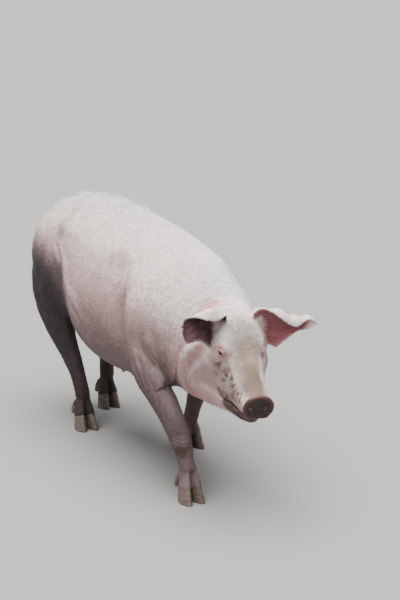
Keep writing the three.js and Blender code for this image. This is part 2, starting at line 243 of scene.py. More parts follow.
def from_bmesh(work: bmesh.types.BMesh, name: str) -> Mesh:
    """A finished bmesh as a mesh.

    Args:
        work: the bmesh, which is freed.
        name: the mesh's name.

    Returns:
        The new mesh.
    """
    mesh = bpy.data.meshes.new(name)
    work.to_mesh(mesh)
    work.free()
    return mesh


class Surface:
    """The points of a mesh as arrays, so that many move at once."""

    def __init__(self, mesh: Mesh) -> None:
        """Read the mesh.

        Args:
            mesh: the mesh to work on.
        """
        self.mesh = mesh
        self.points = read_rows(mesh.vertices, "co", 3)
        self.pairs = read_rows(mesh.edges, "vertices", 2, np.int32)
        self.degree = np.bincount(self.pairs.ravel(), minlength=len(self.points)).astype(float)

    def write(self) -> None:
        """Put the points back into the mesh."""
        self.mesh.vertices.foreach_set("co", self.points.astype(np.float32).ravel())
        self.mesh.update()

    @property
    def normals(self) -> Array:
        """Outward directions at the points, as they are now."""
        self.write()
        return read_rows(self.mesh.vertex_normals, "vector", 3)

    def spread(self, values: Array, rounds: int) -> Array:
        """Values run into those of the neighbours.

        Args:
            values: one value for each point.
            rounds: how often each takes half of its neighbours' mean.

        Returns:
            The softened values.
        """
        first, second = self.pairs.T
        count = len(self.points)
        for _ in range(rounds):
            total = np.bincount(first, values[second], count) + np.bincount(second, values[first], count)
            values = (values + total / np.maximum(self.degree, 1)) / 2
        return values

    def smoothed(self, rounds: int) -> Array:
        """The points after rounds of smoothing, without moving them.

        Args:
            rounds: how many rounds.

        Returns:
            The smoothed points.
        """
        self.write()
        mesh = modified(self.mesh.copy(), "SMOOTH", factor=0.5, iterations=rounds)
        points = read_rows(mesh.vertices, "co", 3)
        bpy.data.meshes.remove(mesh)
        return points

    def faired(self, chosen: Array, rounds: int) -> None:
        """Even some points out without drawing them together.

        Args:
            chosen: the points' numbers.
            rounds: how often they are drawn in and pushed out again.
        """
        local = np.full(len(self.points), -1)
        local[chosen] = np.arange(len(chosen))
        first, second = local[self.pairs[np.all(local[self.pairs] >= 0, axis=1)]].T
        count = len(chosen)
        degree = np.maximum(np.bincount(np.concatenate([first, second]), minlength=count), 1)[:, None]
        points = self.points[chosen]
        for share in (0.5, -0.512) * rounds:
            total = [np.bincount(first, column[second], count) + np.bincount(second, column[first], count)
                     for column in points.T]
            points = points + share * (np.stack(total, 1) / degree - points)
        self.points[chosen] = points


def turn_matrix(yaw: float, pitch: float, roll: float) -> Array:
    """Turn about z, then y, then x.

    Args:
        yaw: angle about z in degrees.
        pitch: angle about y in degrees, which dips x.
        roll: angle about x in degrees.

    Returns:
        A 3 by 3 matrix whose columns are the turned axes.
    """
    axes = (("Z", yaw), ("Y", pitch), ("X", roll))
    turned = Matrix.Identity(3)
    for axis, angle in axes:
        turned = turned @ Matrix.Rotation(math.radians(angle), 3, axis)
    return np.array(turned)


# -------- places on the head


@dataclass(frozen=True)
class HeadFrame:
    """The head's own frame, found from the eyeballs of the frame."""

    yaw: float = -13.9
    pitch: float = 34.6
    roll: float = -2.5
    ball_along: float = -5.7 * MM  # the eyeballs' middles in the head's frame
    ball_up: float = -4.2 * MM

    @property
    def turn(self) -> Array:
        """The head's axes as columns."""
        return turn_matrix(self.yaw, self.pitch, self.roll)

    @staticmethod
    def eyeball(side: str) -> Array:
        """The middle of an eyeball."""
        low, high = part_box(f"eye_{side}")
        return np.array((low + high) / 2)

    @property
    def origin(self) -> Array:
        """The place between the eyes."""
        middle = (self.eyeball("right") + self.eyeball("left")) / 2
        return middle - self.turn @ np.array([self.ball_along, 0, self.ball_up])

    def inside(self, points: Array) -> Array:
        """Places in the head's frame."""
        return (points - self.origin) @ self.turn

    def outside(self, points: Array) -> Array:
        """Places of the head's frame in the pig's frame."""
        return self.origin + np.asarray(points, float) @ self.turn.T

    def way(self, along: float, left: float, up: float) -> Array:
        """A direction of the head's frame in the pig's frame."""
        return self.turn @ unit((along, left, up))


HEAD = HeadFrame()


@dataclass(frozen=True)
class Lids:
    """An eye's opening and the lids round it, on one side."""

    side: str
    half_length: float = 10.5 * MM
    upper: float = 5.0 * MM  # height of the opening above its long axis
    lower: float = 3.6 * MM
    tilt: float = -12.0  # degrees off the line of the face
    ball: float = 12 * MM
    thick: float = 2.3 * MM
    reach: float = 24 * MM
    orbit: float = 2.2 * MM  # how deep the skin sinks round the lids
    blend: float = 2.5 * MM
    creases: tuple[tuple[float, float, float, int], ...] = (
        (5.6 * MM, 1.5 * MM, 1.6 * MM, 1),
        (10.5 * MM, 2.2 * MM, 0.8 * MM, 1),
        (4.6 * MM, 1.6 * MM, 1.0 * MM, -1),
        (8.5 * MM, 2.0 * MM, 0.6 * MM, -1),
    )  # distance from the opening, half width, depth, above or below

    @property
    def centre(self) -> Array:
        """The middle of the eyeball."""
        return HEAD.eyeball(self.side)

    @property
    def axes(self) -> Array:
        """Forwards along the opening, up across it and out of it, as rows.

        Returns:
            The three ways.
        """
        out = HEAD.way(0.36, 0.84 * SIDES[self.side], 0.4)
        ahead = HEAD.way(1, 0, -math.tan(math.radians(self.tilt)))
        ahead = unit(ahead - out * (ahead @ out))
        up = np.cross(out, ahead)
        return np.array([ahead, up if up @ HEAD.way(0, 0, 1) > 0 else -up, out])

    def from_opening(self, ahead: Array, up: Array) -> Array:
        """Distance from the edge of the opening, below 0 inside it.

        Args:
            ahead: distance along the opening.
            up: distance across it.

        Returns:
            The distances.
        """
        share = np.clip(1 - (ahead / self.half_length) ** 2, 0, 1)
        top, bottom = self.upper * share**0.75, -self.lower * share**0.9
        across = np.maximum(up - top, bottom - up)
        beyond = np.maximum(np.abs(ahead) - self.half_length, 0)
        return np.where(beyond > 0, np.hypot(beyond, up), across)

    def beyond(self, points: Array) -> tuple[Array, Array]:
        """How far places on the skin are from the edge of the opening, and how far above its middle."""
        ahead, up, out = ((points - self.centre) @ self.axes.T).T
        return np.where(out > 0, self.from_opening(ahead, up), 1.0), up

    def shape(self, surface: Surface) -> None:
        """Work the lids into the skin.

        Args:
            surface: the skin.
        """
        near = np.linalg.norm(surface.points - self.centre, axis=1) < self.reach + self.ball
        ahead, up, out = ((surface.points[near] - self.centre) @ self.axes.T).T
        flat = np.hypot(ahead, up)
        edge = self.from_opening(ahead, up)
        ball = np.sqrt(np.maximum(self.ball**2 - flat**2, 0))
        lid = np.sqrt(np.maximum((self.ball + self.thick) ** 2 - flat**2, 0))
        orbit = out - self.orbit * step(edge, self.reach * 0.8, self.thick)
        lid = (lid + orbit + np.sqrt((lid - orbit) ** 2 + self.blend**2)) / 2
        margin = np.sqrt(np.clip(1 - (1 - edge / self.thick) ** 2, 0, 1))
        rolled = ball + (lid - ball) * np.where(edge < self.thick, margin, 1)
        wanted = np.where(edge < 0, ball - self.thick * np.clip(-edge / (0.9 * MM), 0, 1), rolled)
        for away, half, deep, above in self.creases:
            hollow = bell(edge - away, half) - 0.6 * bell(edge - away + 2 * half, half)
            wanted = wanted - deep * hollow * step(up * above, -4 * MM, 3 * MM)
        share = step(edge, self.reach * 0.6, 2 * self.thick) * (out > 0)
        surface.points[near] += (share * (wanted - out))[:, None] * self.axes[2]


@dataclass(frozen=True, kw_only=True)
class Placed:
    """Something whose places are millimetres in the pig's frame, or in the head's."""

    on_head: bool = False
    both: bool = False  # on the other side of the body too

    @property
    def sides(self) -> tuple[int, ...]:
        """What a place's distance to the left is multiplied by, for each side that it is on."""
        return (1, -1) if self.both else (1,)

    def lines(self, line: tuple[Triple, ...]) -> list[Array]:
        """A line's places in the pig's frame in metres, once for each side."""
        rows = [np.array(line) * MM * [1, side, 1] for side in self.sides]
        return [HEAD.outside(each) for each in rows] if self.on_head else rows

    def seen_from(self, points: Array) -> Array:
        """Places on the skin in the frame that this is placed in."""
        return HEAD.inside(points) if self.on_head else points


class Relief:
    """A change of the skin's shape."""

    def height(self, points: Array, normals: Array) -> Array:
        """How far places on the skin move outwards.

        Args:
            points: the places.
            normals: the skin's outward directions there.

        Returns:
            The distances.
        """
        raise NotImplementedError

    def shape(self, surface: Surface, normals: Array) -> None:
        """Move the skin."""
        surface.points += self.height(surface.points, normals)[:, None] * normals


@dataclass(frozen=True)
class Fold(Placed):
    """A crease pressed into the skin along a line, or a ridge where its depth is below 0."""

    line: tuple[Triple, ...]  # millimetres
    deep: float
    half: float
    roll: float = 0.4  # height of the rolls beside the crease, as a share of its depth
    over: Triple | None = None  # the side on which the skin bulges over the crease

    def shape(self, surface: Surface, normals: Array) -> None:
        """Press the fold into the skin, one side after the other.

        Args:
            surface: the skin, which is changed.
            normals: the ways out of it.
        """
        for path in map(smooth_line, self.lines(self.line)):
            chosen = near_line(surface.points, path, 4 * self.half)
            press = self.pressed(surface.points[chosen], path)
            surface.points[chosen] -= press[:, None] * normals[chosen]

    def pressed(self, points: Array, path: Array) -> Array:
        """How deep places near the line are pressed in.

        Args:
            points: the places.
            path: the line, drawn smooth.

        Returns:
            The depths.
        """
        offset, share = line_distance(points, path)
        away = np.linalg.norm(offset, axis=1)
        away = away * (1 + 0.25 * NOISE(points, 5 * self.half))
        faded = np.sin(np.pi * np.clip(share, 0.02, 0.98)) ** 0.6
        faded *= 1 + 0.25 * NOISE(points, 60 * MM)
        press = bell(away, self.half) - self.roll * bell(away - 2.1 * self.half, 1.1 * self.half)
        if self.over is not None:
            signed = away * np.sign(offset @ np.array(self.over))
            press = bell(signed, 0.8 * self.half) * step(signed, 1.2 * self.half, 0)
            press += 0.45 * bell(signed + 0.9 * self.half, 1.3 * self.half)
            press -= 0.75 * bell(signed - 1.5 * self.half, 1.2 * self.half)
        return self.deep * faded * press


def smooth_line(points: Array, pieces: int = 6) -> Array:
    """A line drawn smoothly through points.

    Args:
        points: the points, one a row.
        pieces: stretches between two points.

    Returns:
        The points of the smooth line.
    """
    padded = np.vstack([2 * points[0] - points[1], points, 2 * points[-1] - points[-2]])
    share = np.linspace(0, 1, pieces, endpoint=False)[:, None]
    made = []
    for a, b, c, d in zip(padded[:-3], padded[1:-2], padded[2:-1], padded[3:]):
        made.append(b + share * (c - a) / 2 + share**2 * (a - 2.5 * b + 2 * c - d / 2)
                    + share**3 * (1.5 * (b - c) + (d - a) / 2))
    return np.vstack([*made, points[-1:]])


def near_line(points: Array, path: Array, reach: float) -> Array:
    """Numbers of the points in a box that reaches a distance past a line."""
    return np.flatnonzero(np.all((points > path.min(0) - reach) & (points < path.max(0) + reach), axis=1))


def line_distance(points: Array, path: Array) -> tuple[Array, Array]:
    """Where points are from a line, and how far along it.

    Args:
        points: the points.
        path: the line's points.

    Returns:
        The way to each point from the line's nearest place, and that place's share of the line's length.
    """
    best = np.full(len(points), np.inf)
    offset = np.zeros((len(points), 3))
    share = np.zeros(len(points))
    lengths = np.linalg.norm(np.diff(path, axis=0), axis=1)
    before = np.concatenate([[0], np.cumsum(lengths)])
    for start, end, length, passed in zip(path[:-1], path[1:], lengths, before):
        along = np.clip((points - start) @ (end - start) / length**2, 0, 1)
        way = points - start - along[:, None] * (end - start)
        away = np.linalg.norm(way, axis=1)
        nearer = away < best
        best[nearer] = away[nearer]
        offset[nearer] = way[nearer]
        share[nearer] = (passed + along[nearer] * length) / before[-1]
    return offset, share


# -------- shaping the skin


@dataclass(frozen=True)
class Swell(Placed, Relief):
    """A soft rise or hollow of the skin, in millimetres."""

    at: Triple
    reach: Triple  # along each axis
    high: float  # below 0 it is a hollow

    def height(self, points: Array, normals: Array) -> Array:
        """How far the skin rises.

        Args:
            points: places on the skin.
            normals: the ways out of the skin there; not used.

        Returns:
            The heights in metres.
        """
        points = self.seen_from(points)
        total = np.zeros(len(points))
        for side in self.sides:
            away = (points - np.array(self.at) * MM * [1, side, 1]) / (np.array(self.reach) * MM)
            total += self.high * MM * np.exp(-np.sum(away**2, axis=1))
        return total


@dataclass(frozen=True)
class Wrinkles(Placed, Relief):
    """Small folds of skin side by side, round one place."""

    at: Triple
    reach: Triple
    across: Triple  # the way from one fold to the next
    pitch: float
    deep: float

    def height(self, points: Array, normals: Array) -> Array:
        """How far the skin moves: mostly down in the folds and a little up between them.

        Args:
            points: places on the skin.
            normals: the ways out of the skin there; not used.

        Returns:
            The heights in metres.
        """
        points = self.seen_from(points)
        wander = NOISE(points, 14 * MM) * 0.3 + NOISE(points, 45 * MM) * 0.5
        total = np.zeros(len(points))
        for side in self.sides:
            away = points - np.array(self.at) * MM * [1, side, 1]
            share = np.exp(-np.sum((away / (np.array(self.reach) * MM)) ** 2, axis=1))
            across = unit(np.array(self.across) * [1, side, 1])
            wave = np.sin(math.tau * (away @ across / self.pitch + wander))
            total -= self.deep * share * np.maximum(wave, -0.4) ** 2 * np.sign(wave)
        return total


@dataclass(frozen=True)
class Teats:
    """Two rows of teats along the belly."""

    pairs: int = 7
    first: float = 0.13  # along the body
    last: float = -0.27
    aside: float = 0.058
    lowest_flank: float = 0.36  # height under which the belly is
    radius: float = 6 * MM
    high: float = 8 * MM

    def places(self) -> Array:
        """Places along and across the body, one a row."""
        alongs = np.linspace(self.first, self.last, self.pairs)
        return np.array([(x, MIDDLE + side * self.aside) for x in alongs for side in SIDES.values()])

    def shape(self, surface: Surface, normals: Array) -> None:
        """Draw the teats down out of the skin of the belly.

        Args:
            surface: the skin, which is changed.
            normals: the ways out of it.
        """
        below = normals[:, 2] < -0.5
        for along, across in self.places():
            away = np.hypot(surface.points[:, 0] - along, surface.points[:, 1] - across)
            teat = self.high * np.exp(-((away / self.radius) ** 4)) + 2 * MM * bell(away, 2.6 * self.radius)
            surface.points[:, 2] -= np.where(below & (surface.points[:, 2] < self.lowest_flank), teat, 0)


@dataclass(frozen=True)
class Rear(Relief):
    """The small openings under the tail."""

    anus: tuple[float, float] = (MIDDLE, 0.560)  # across and up
    fold: tuple[float, float] = (MIDDLE, 0.497)

    def height(self, points: Array, normals: Array) -> Array:
        """How far the skin rises, or sinks where it is below 0.

        Args:
            points: places on the skin.
            normals: the ways out of the skin there.

        Returns:
            The heights in metres.
        """
        behind = step(-normals[:, 0], 0.3, 0.7) * step(-points[:, 0], 0.50, 0.56)
        across, up = points[:, 1], points[:, 2]
        ring = np.hypot((across - self.anus[0]) / 11, (up - self.anus[1]) / 13) / MM
        pucker = 3.5 * MM * bell(ring - 1.1, 0.6) - 5 * MM * bell(ring, 0.45)
        around = np.arctan2(up - self.anus[1], across - self.anus[0])
        pucker -= 0.7 * MM * np.cos(14 * around) * bell(ring - 0.9, 0.5)
        lobe = np.hypot((across - self.fold[0]) / 17, (up - self.fold[1]) / 26) / MM
        slit = bell(across - self.fold[0], 2.4 * MM) * step(lobe, 1.0, 0.6)
        lobes = 9 * MM * np.exp(-(lobe**4)) - 6 * MM * slit
        return behind * (pucker + lobes)


@dataclass(frozen=True)
class Mouth(Relief):
    """The line between the lips."""

    corner: tuple[float, float] = (0.070, -0.086)  # along the face and up
    slope: float = 24.0
    deep: float = 5.5 * MM
    half: float = 2.8 * MM

    def above(self, face: Array) -> Array:
        """Height above the plane between the lips, for places in the head's frame.

        Args:
            face: places in the head's frame.

        Returns:
            The heights in metres.
        """
        angle = math.radians(self.slope)
        along, up = face[:, 0] - self.corner[0], face[:, 2] - self.corner[1]
        sway = 1.2 * MM * np.sin(along / (11 * MM))
        return up * math.cos(angle) - along * math.sin(angle) + sway

    def height(self, points: Array, normals: Array) -> Array:
        """How far the skin moves: down along the line and up on the lips.

        Args:
            points: places on the skin.
            normals: the ways out of the skin there; not used.

        Returns:
            The heights in metres.
        """
        face = HEAD.inside(points)
        above = self.above(face)
        share = step(face[:, 0], self.corner[0] - 5 * MM, self.corner[0] + 9 * MM)
        press = self.deep * bell(above, self.half) - 2.4 * MM * bell(above - 7 * MM, 4 * MM)
        press -= 2.0 * MM * bell(above + 7 * MM, 4 * MM)
        return -share * press


@dataclass(frozen=True)
class Snout:
    """The disc at the end of the snout."""

    front: float = 0.180
    lean: float = math.tan(math.radians(17))
    rim: float = 2.6 * MM
    hollow: float = 2.0 * MM
    nostril: tuple[float, float] = (0.018, -0.005)  # aside and up
    half_width: float = 0.039
    half_height: float = 0.031

    def from_middle(self, face: Array) -> Array:
        """Distance from the middle of the disc, 1 at its edge."""
        return np.hypot(face[:, 1] / self.half_width, (face[:, 2] + 0.001) / self.half_height)

    def on_disc(self, face: Array) -> Array:
        """How far a place is on the disc's face, 0 to 1."""
        upright = face[:, 0] + self.lean * face[:, 2]
        return step(upright, self.front - 9 * MM, self.front - 3 * MM)

    def hole(self, face: Array) -> Array:
        """Distance from the middle of a nostril, 1 at its edge."""
        aside = (np.abs(face[:, 1]) - self.nostril[0]) / 8
        return np.hypot(aside, (face[:, 2] - self.nostril[1] - 0.2 * aside * MM) / 8.5) / MM

    def shape(self, surface: Surface) -> None:
        """Give the disc its rim, its hollow and the groove down its middle.

        Args:
            surface: the skin.
        """
        face = HEAD.inside(surface.points)
        upright = face[:, 0] + self.lean * face[:, 2]
        fore = step(upright, self.front - 22 * MM, self.front - 3 * MM)
        from_middle = self.from_middle(face)
        ahead = HEAD.turn @ unit((1, 0, self.lean))
        rim = bell(from_middle - 0.95, 0.12) * self.rim
        hollow = step(from_middle, 0.85, 0.2) * self.hollow
        groove = bell(face[:, 1], 2.2 * MM) * step(from_middle, 1.1, 0.6) * 1.1 * MM
        hole = self.hole(face)
        edge = bell(hole - 1.3, 0.28) * 2.2 * MM
        deeper = step(hole, 1.0, 0.5) * 11 * MM
        surface.points += (fore * (rim - hollow - groove + edge - deeper))[:, None] * ahead
        widen = bell(upright - self.front + 6 * MM, 5.5 * MM) * 2.4 * MM * step(from_middle, 0.7, 0.95)
        neck = bell(upright - self.front + 19 * MM, 7 * MM) * 1.4 * MM * step(from_middle, 0.6, 0.9)
        outward = np.stack([0 * fore, face[:, 1], face[:, 2]], 1)
        surface.points += (widen - neck)[:, None] * (unit(outward + 1e-9) @ HEAD.turn.T)


@dataclass(frozen=True)
class EarSheet:
    """The middle of an ear's leaf, from its lower edge over its fold line to the end of its flap."""

    side: str
    rows: tuple[tuple[float, ...], ...]  # share of the length, lower edge, fold line, flap and its turn
    cup: float = 0.9
    shares: int = 34
    steps: int = 36

    def places(self) -> tuple[Array, Array, Array, Array]:
        """The leaf as rows of places.

        Returns:
            Places, the ways out of its inner face, the ways to its tip, and each place's share of the length
            and of the width.
        """
        sign = SIDES[self.side]
        rows = np.array(self.rows)
        shares = np.linspace(rows[0, 0], 1, self.shares)
        table = np.stack([np.interp(shares, rows[:, 0], column) for column in rows[:, 1:].T], 1)
        edge, fold = table[:, :3] * [1, sign, 1], table[:, 3:6] * [1, sign, 1]
        flap, turn = table[:, 6], np.radians(table[:, 7])
        width = np.linalg.norm(fold - edge, axis=1)
        across = unit(fold - edge)
        inner = unit(np.cross(np.gradient(edge + fold, axis=0), across) * sign)
        spot, spots, outs = edge.copy(), [], []
        for reached in np.linspace(0, 1, self.steps)[:, None] * (width + flap):
            bend = self.cup * (np.minimum(reached / width, 1) - 0.5)
            bend = bend + turn * step(reached, width - 8, width + 10)
            cosine, sine = np.cos(bend)[:, None], np.sin(bend)[:, None]
            spots.append(spot.copy())
            outs.append(inner * cosine - across * sine)
            spot += (across * cosine + inner * sine) * ((width + flap) / (self.steps - 1))[:, None]
        spots, outs = np.array(spots), np.array(outs)
        ways = unit(np.gradient(spots, axis=1))
        around, along = np.meshgrid(np.linspace(0, 1, self.steps), shares, indexing="ij")
        turned = (HEAD.outside(spots * MM), outs @ HEAD.turn.T, ways @ HEAD.turn.T)
        return *(each.reshape(-1, 3) for each in turned), np.stack([along.ravel(), around.ravel()], 1)

    def read(self, points: Array, normals: Array) -> tuple[Array, Array, Array]:
        """Where places on the ear's skin lie on the leaf.

        Args:
            points: the places.
            normals: the skin's outward directions.

        Returns:
            How far each lies on the inner face, the way to the tip, and the shares of length and width.
        """
        spots, outs, ways, shares = self.places()
        tree = KDTree(len(spots))
        for index, spot in enumerate(spots):
            tree.insert(spot, index)
        tree.balance()
        nearest = np.array([tree.find(point)[1] for point in points], int)
        facing = np.sum(normals * outs[nearest], axis=1)
        return step(facing, -0.25, 0.35), ways[nearest], shares[nearest]


EARS = (
    EarSheet("left", (
        (-0.2, -46, 48, -11, -75, 27, 49, 4, 20),
        (0, -41, 80, -17, -85, 50, 74, 8, 60),
        (0.25, -16, 97, -3, -72, 89, 92, 22, 110),
        (0.45, -11, 110, 26, -54, 110, 100, 30, 130),
        (0.6, -8, 122, 49, -39, 127, 102, 34, 140),
        (0.75, -5, 139, 74, -27, 143, 107, 32, 150),
        (0.9, 8, 155, 89, -17, 159, 119, 18, 120),
        (1, 14, 176, 104, 3, 177, 119, 4, 90),
    )),
    EarSheet("right", (
        (-0.2, -44, 40, -13, -72, 29, 47, 6, 40),
        (0, -37, 68, -16, -82, 48, 74, 22, 90),
        (0.2, -20, 83, 0, -93, 69, 89, 48, 140),
        (0.4, -11, 97, 21, -87, 93, 92, 46, 140),
        (0.6, -5, 117, 42, -71, 119, 87, 30, 130),
        (0.75, 5, 135, 54, -54, 146, 81, 11, 90),
        (0.88, 15, 152, 58, -42, 167, 79, 3, 40),
        (1, 20, 166.4, 64, 12, 168.3, 71, 1, 20),
    )),
)

FACE = {"on_head": True, "both": True}

FOLDS = (
    Fold(((156, -150, 535), (168, -156, 500), (172, -158, 450), (164, -154, 410), (186, -158, 375),
          (222, -160, 345)), 8 * MM, 21 * MM, over=(1, 0, 0.2)),
    Fold(((158, 175, 535), (170, 178, 500), (168, 180, 450), (150, 178, 410), (140, 176, 370)),
         7 * MM, 21 * MM, over=(1, 0, 0.2)),
    Fold(((-335, -138, 575), (-315, -142, 548), (-288, -146, 518), (-261, -150, 474), (-215, -158, 440),
          (-160, -166, 414), (-110, -168, 390), (-70, -164, 366)), 6 * MM, 15 * MM, over=(0.6, 0, 0.8)),
    Fold(((-350, 160, 560), (-330, 168, 520), (-305, 174, 470), (-262, 184, 425), (-205, 190, 390)),
         4 * MM, 14 * MM, over=(0.6, 0, 0.8)),
    Fold(((404, -120, 400), (380, -120, 352), (340, -114, 312), (304, -88, 284), (290, -30, 272)),
         7 * MM, 12 * MM, over=(-1, 0, 0.2), both=True),
    Fold(((452, -112, 415), (440, -114, 370), (412, -108, 325), (396, -72, 284)),
         6 * MM, 10 * MM, over=(-1, 0, 0), both=True),
    Fold(((300, -146, 470), (318, -146, 420), (310, -140, 370), (290, -120, 325)),
         4 * MM, 16 * MM, both=True),
    Fold(((-52, 88, 10), (-64, 92, -26), (-74, 106, -66), (-80, 108, -104), (-88, 96, -150)),
         -5 * MM, 12 * MM, **FACE),
    Fold(((-30, 84, -16), (-44, 96, -60), (-56, 100, -104), (-66, 86, -150)),
         4 * MM, 12 * MM, **FACE),
    Fold(((22, 46, -26), (0, 60, -34), (-26, 76, -34)), 2.4 * MM, 8 * MM, **FACE),
    Fold(((24, 40, -2), (52, 34, -10), (86, 32, -12), (120, 31, -12)), -1.6 * MM, 8 * MM, **FACE),
    Fold(((30, 52, -40), (60, 46, -60), (96, 40, -62)), 2.2 * MM, 9 * MM, **FACE),
    Fold(((158, -28, 18), (159, -14, 22), (160, 0, 23), (159, 14, 22), (158, 28, 18)), 1.6 * MM, 2.6 * MM,
         on_head=True),
    Fold(((146, -30, 15), (147, -15, 19), (148, 0, 20), (147, 15, 19), (146, 30, 15)), 1.4 * MM, 3 * MM,
         on_head=True),
    Fold(((132, -27, 14), (134, -12, 18), (134, 0, 19), (134, 12, 18), (132, 27, 14)), 1.0 * MM, 3.5 * MM,
         on_head=True),
)

SWELLS = (
    Swell((-4, 50, 21), (20, 12, 10), 3.2, **FACE),
    Swell((-6, 64, -26), (24, 14, 12), 2.4, **FACE),
    Swell((-30, 0, 45), (30, 30, 20), 2.5, on_head=True),
    Swell((48, 0, 26), (30, 16, 14), -1.8, on_head=True),
    Swell((-55, 80, -170), (50, 34, 44), 5, **FACE),
    Swell((70, 40, -98), (26, 16, 16), 2.5, **FACE),
    Swell((190, -120, 610), (60, 60, 70), 4),
    Swell((225, -150, 500), (60, 50, 90), 5),
    Swell((205, 160, 520), (60, 50, 90), 5),
    Swell((-330, -112, 640), (50, 40, 34), 5),
    Swell((-340, 136, 640), (50, 40, 34), 5),
    Swell((-270, -90, 690), (60, 40, 40), -2.5),
    Swell((422, -97, 166), (14, 22, 20), 2.6),
    Swell((350, -98, 178), (12, 16, 18), 4),
    Swell((84, 136, 172), (14, 22, 20), 2.6),
    Swell((12, 136, 178), (12, 16, 18), 4),
    Swell((-322, -81, 206), (16, 24, 24), 2.4),
    Swell((-450, 102, 206), (16, 24, 24), 2.4),
)

# Forelegs and hind legs: the knee or hock and the fetlock, millimetres in the pig's frame.
JOINTS = {
    "front_right": ((390, -98, 164), (414, -86, 74)),
    "front_left": ((50, 136, 168), (18, 132, 78)),
    "hind_right": ((-366, -81, 222), (-300, -71, 82)),
    "hind_left": ((-490, 102, 222), (-478, 92, 82)),
}
WRINKLES = (
    *(Wrinkles(knee, (40, 40, 26), (0.2, 0, 1), 13 * MM, 1.1 * MM) for knee, _ in JOINTS.values()),
    *(Wrinkles(fetlock, (40, 40, 22), (-0.3, 0, 1), 9 * MM, 0.3 * MM) for _, fetlock in JOINTS.values()),
    Wrinkles((300, -150, 330), (60, 60, 50), (1, 0, 0.6), 22 * MM, 1.6 * MM),
    Wrinkles((-30, 0, 40), (34, 60, 30), (1, 0, 0.3), 12 * MM, 0.8 * MM, on_head=True),
    Wrinkles((120, 30, -2), (34, 18, 30), (1, 0.3, 0), 9 * MM, 0.7 * MM, **FACE),
    Wrinkles((-60, 60, 20), (26, 30, 30), (0.4, 1, 0), 11 * MM, 1.2 * MM, **FACE),
    Wrinkles((-20, 70, 0), (34, 30, 30), (0.8, 0.2, 1), 7 * MM, 0.5 * MM, **FACE),
)


@dataclass(frozen=True)
class Legs:
    """The grooves down the lower legs, between the bone and the sinew behind it."""

    deep: float = 3.2 * MM
    half: float = 7 * MM
    behind: float = 9 * MM  # how far behind the middle of the leg they run
    aside: float = 26  # millimetres
    shares: tuple[float, ...] = (0.12, 0.4, 0.7, 0.95)  # of the way from the knee or hock to the fetlock

    def folds(self) -> list[Fold]:
        """One groove on each side of each leg.

        Returns:
            The folds.
        """
        made = []
        for (kx, ky, kz), (fx, fy, fz) in JOINTS.values():
            for side in (-self.aside, self.aside):
                line = tuple(
                    (kx + (fx - kx) * share - self.behind / MM, ky + (fy - ky) * share + side,
                     kz + (fz - kz) * share)
                    for share in self.shares
                )
                made.append(Fold(line, self.deep, self.half, roll=0.2))
        return made


# -------- skin


class Region(Enum):
    """A part of the body with its own smoothing, colours and hair."""

    TRUNK = "trunk"
    HEAD = "head"
    EAR = "ear"
    LEG = "leg"
    TAIL = "tail"


def region_of(name: str) -> Region:
    """The region that a piece of the frame belongs to.

    Args:
        name: the piece's name.

    Returns:
        The region.
    """
    if name.startswith("ear"):
        return Region.EAR
    if name in ("head", "snout", "jaw"):
        return Region.HEAD
    if name.endswith("leg"):
        return Region.LEG
    return Region.TAIL if name == "tail" else Region.TRUNK


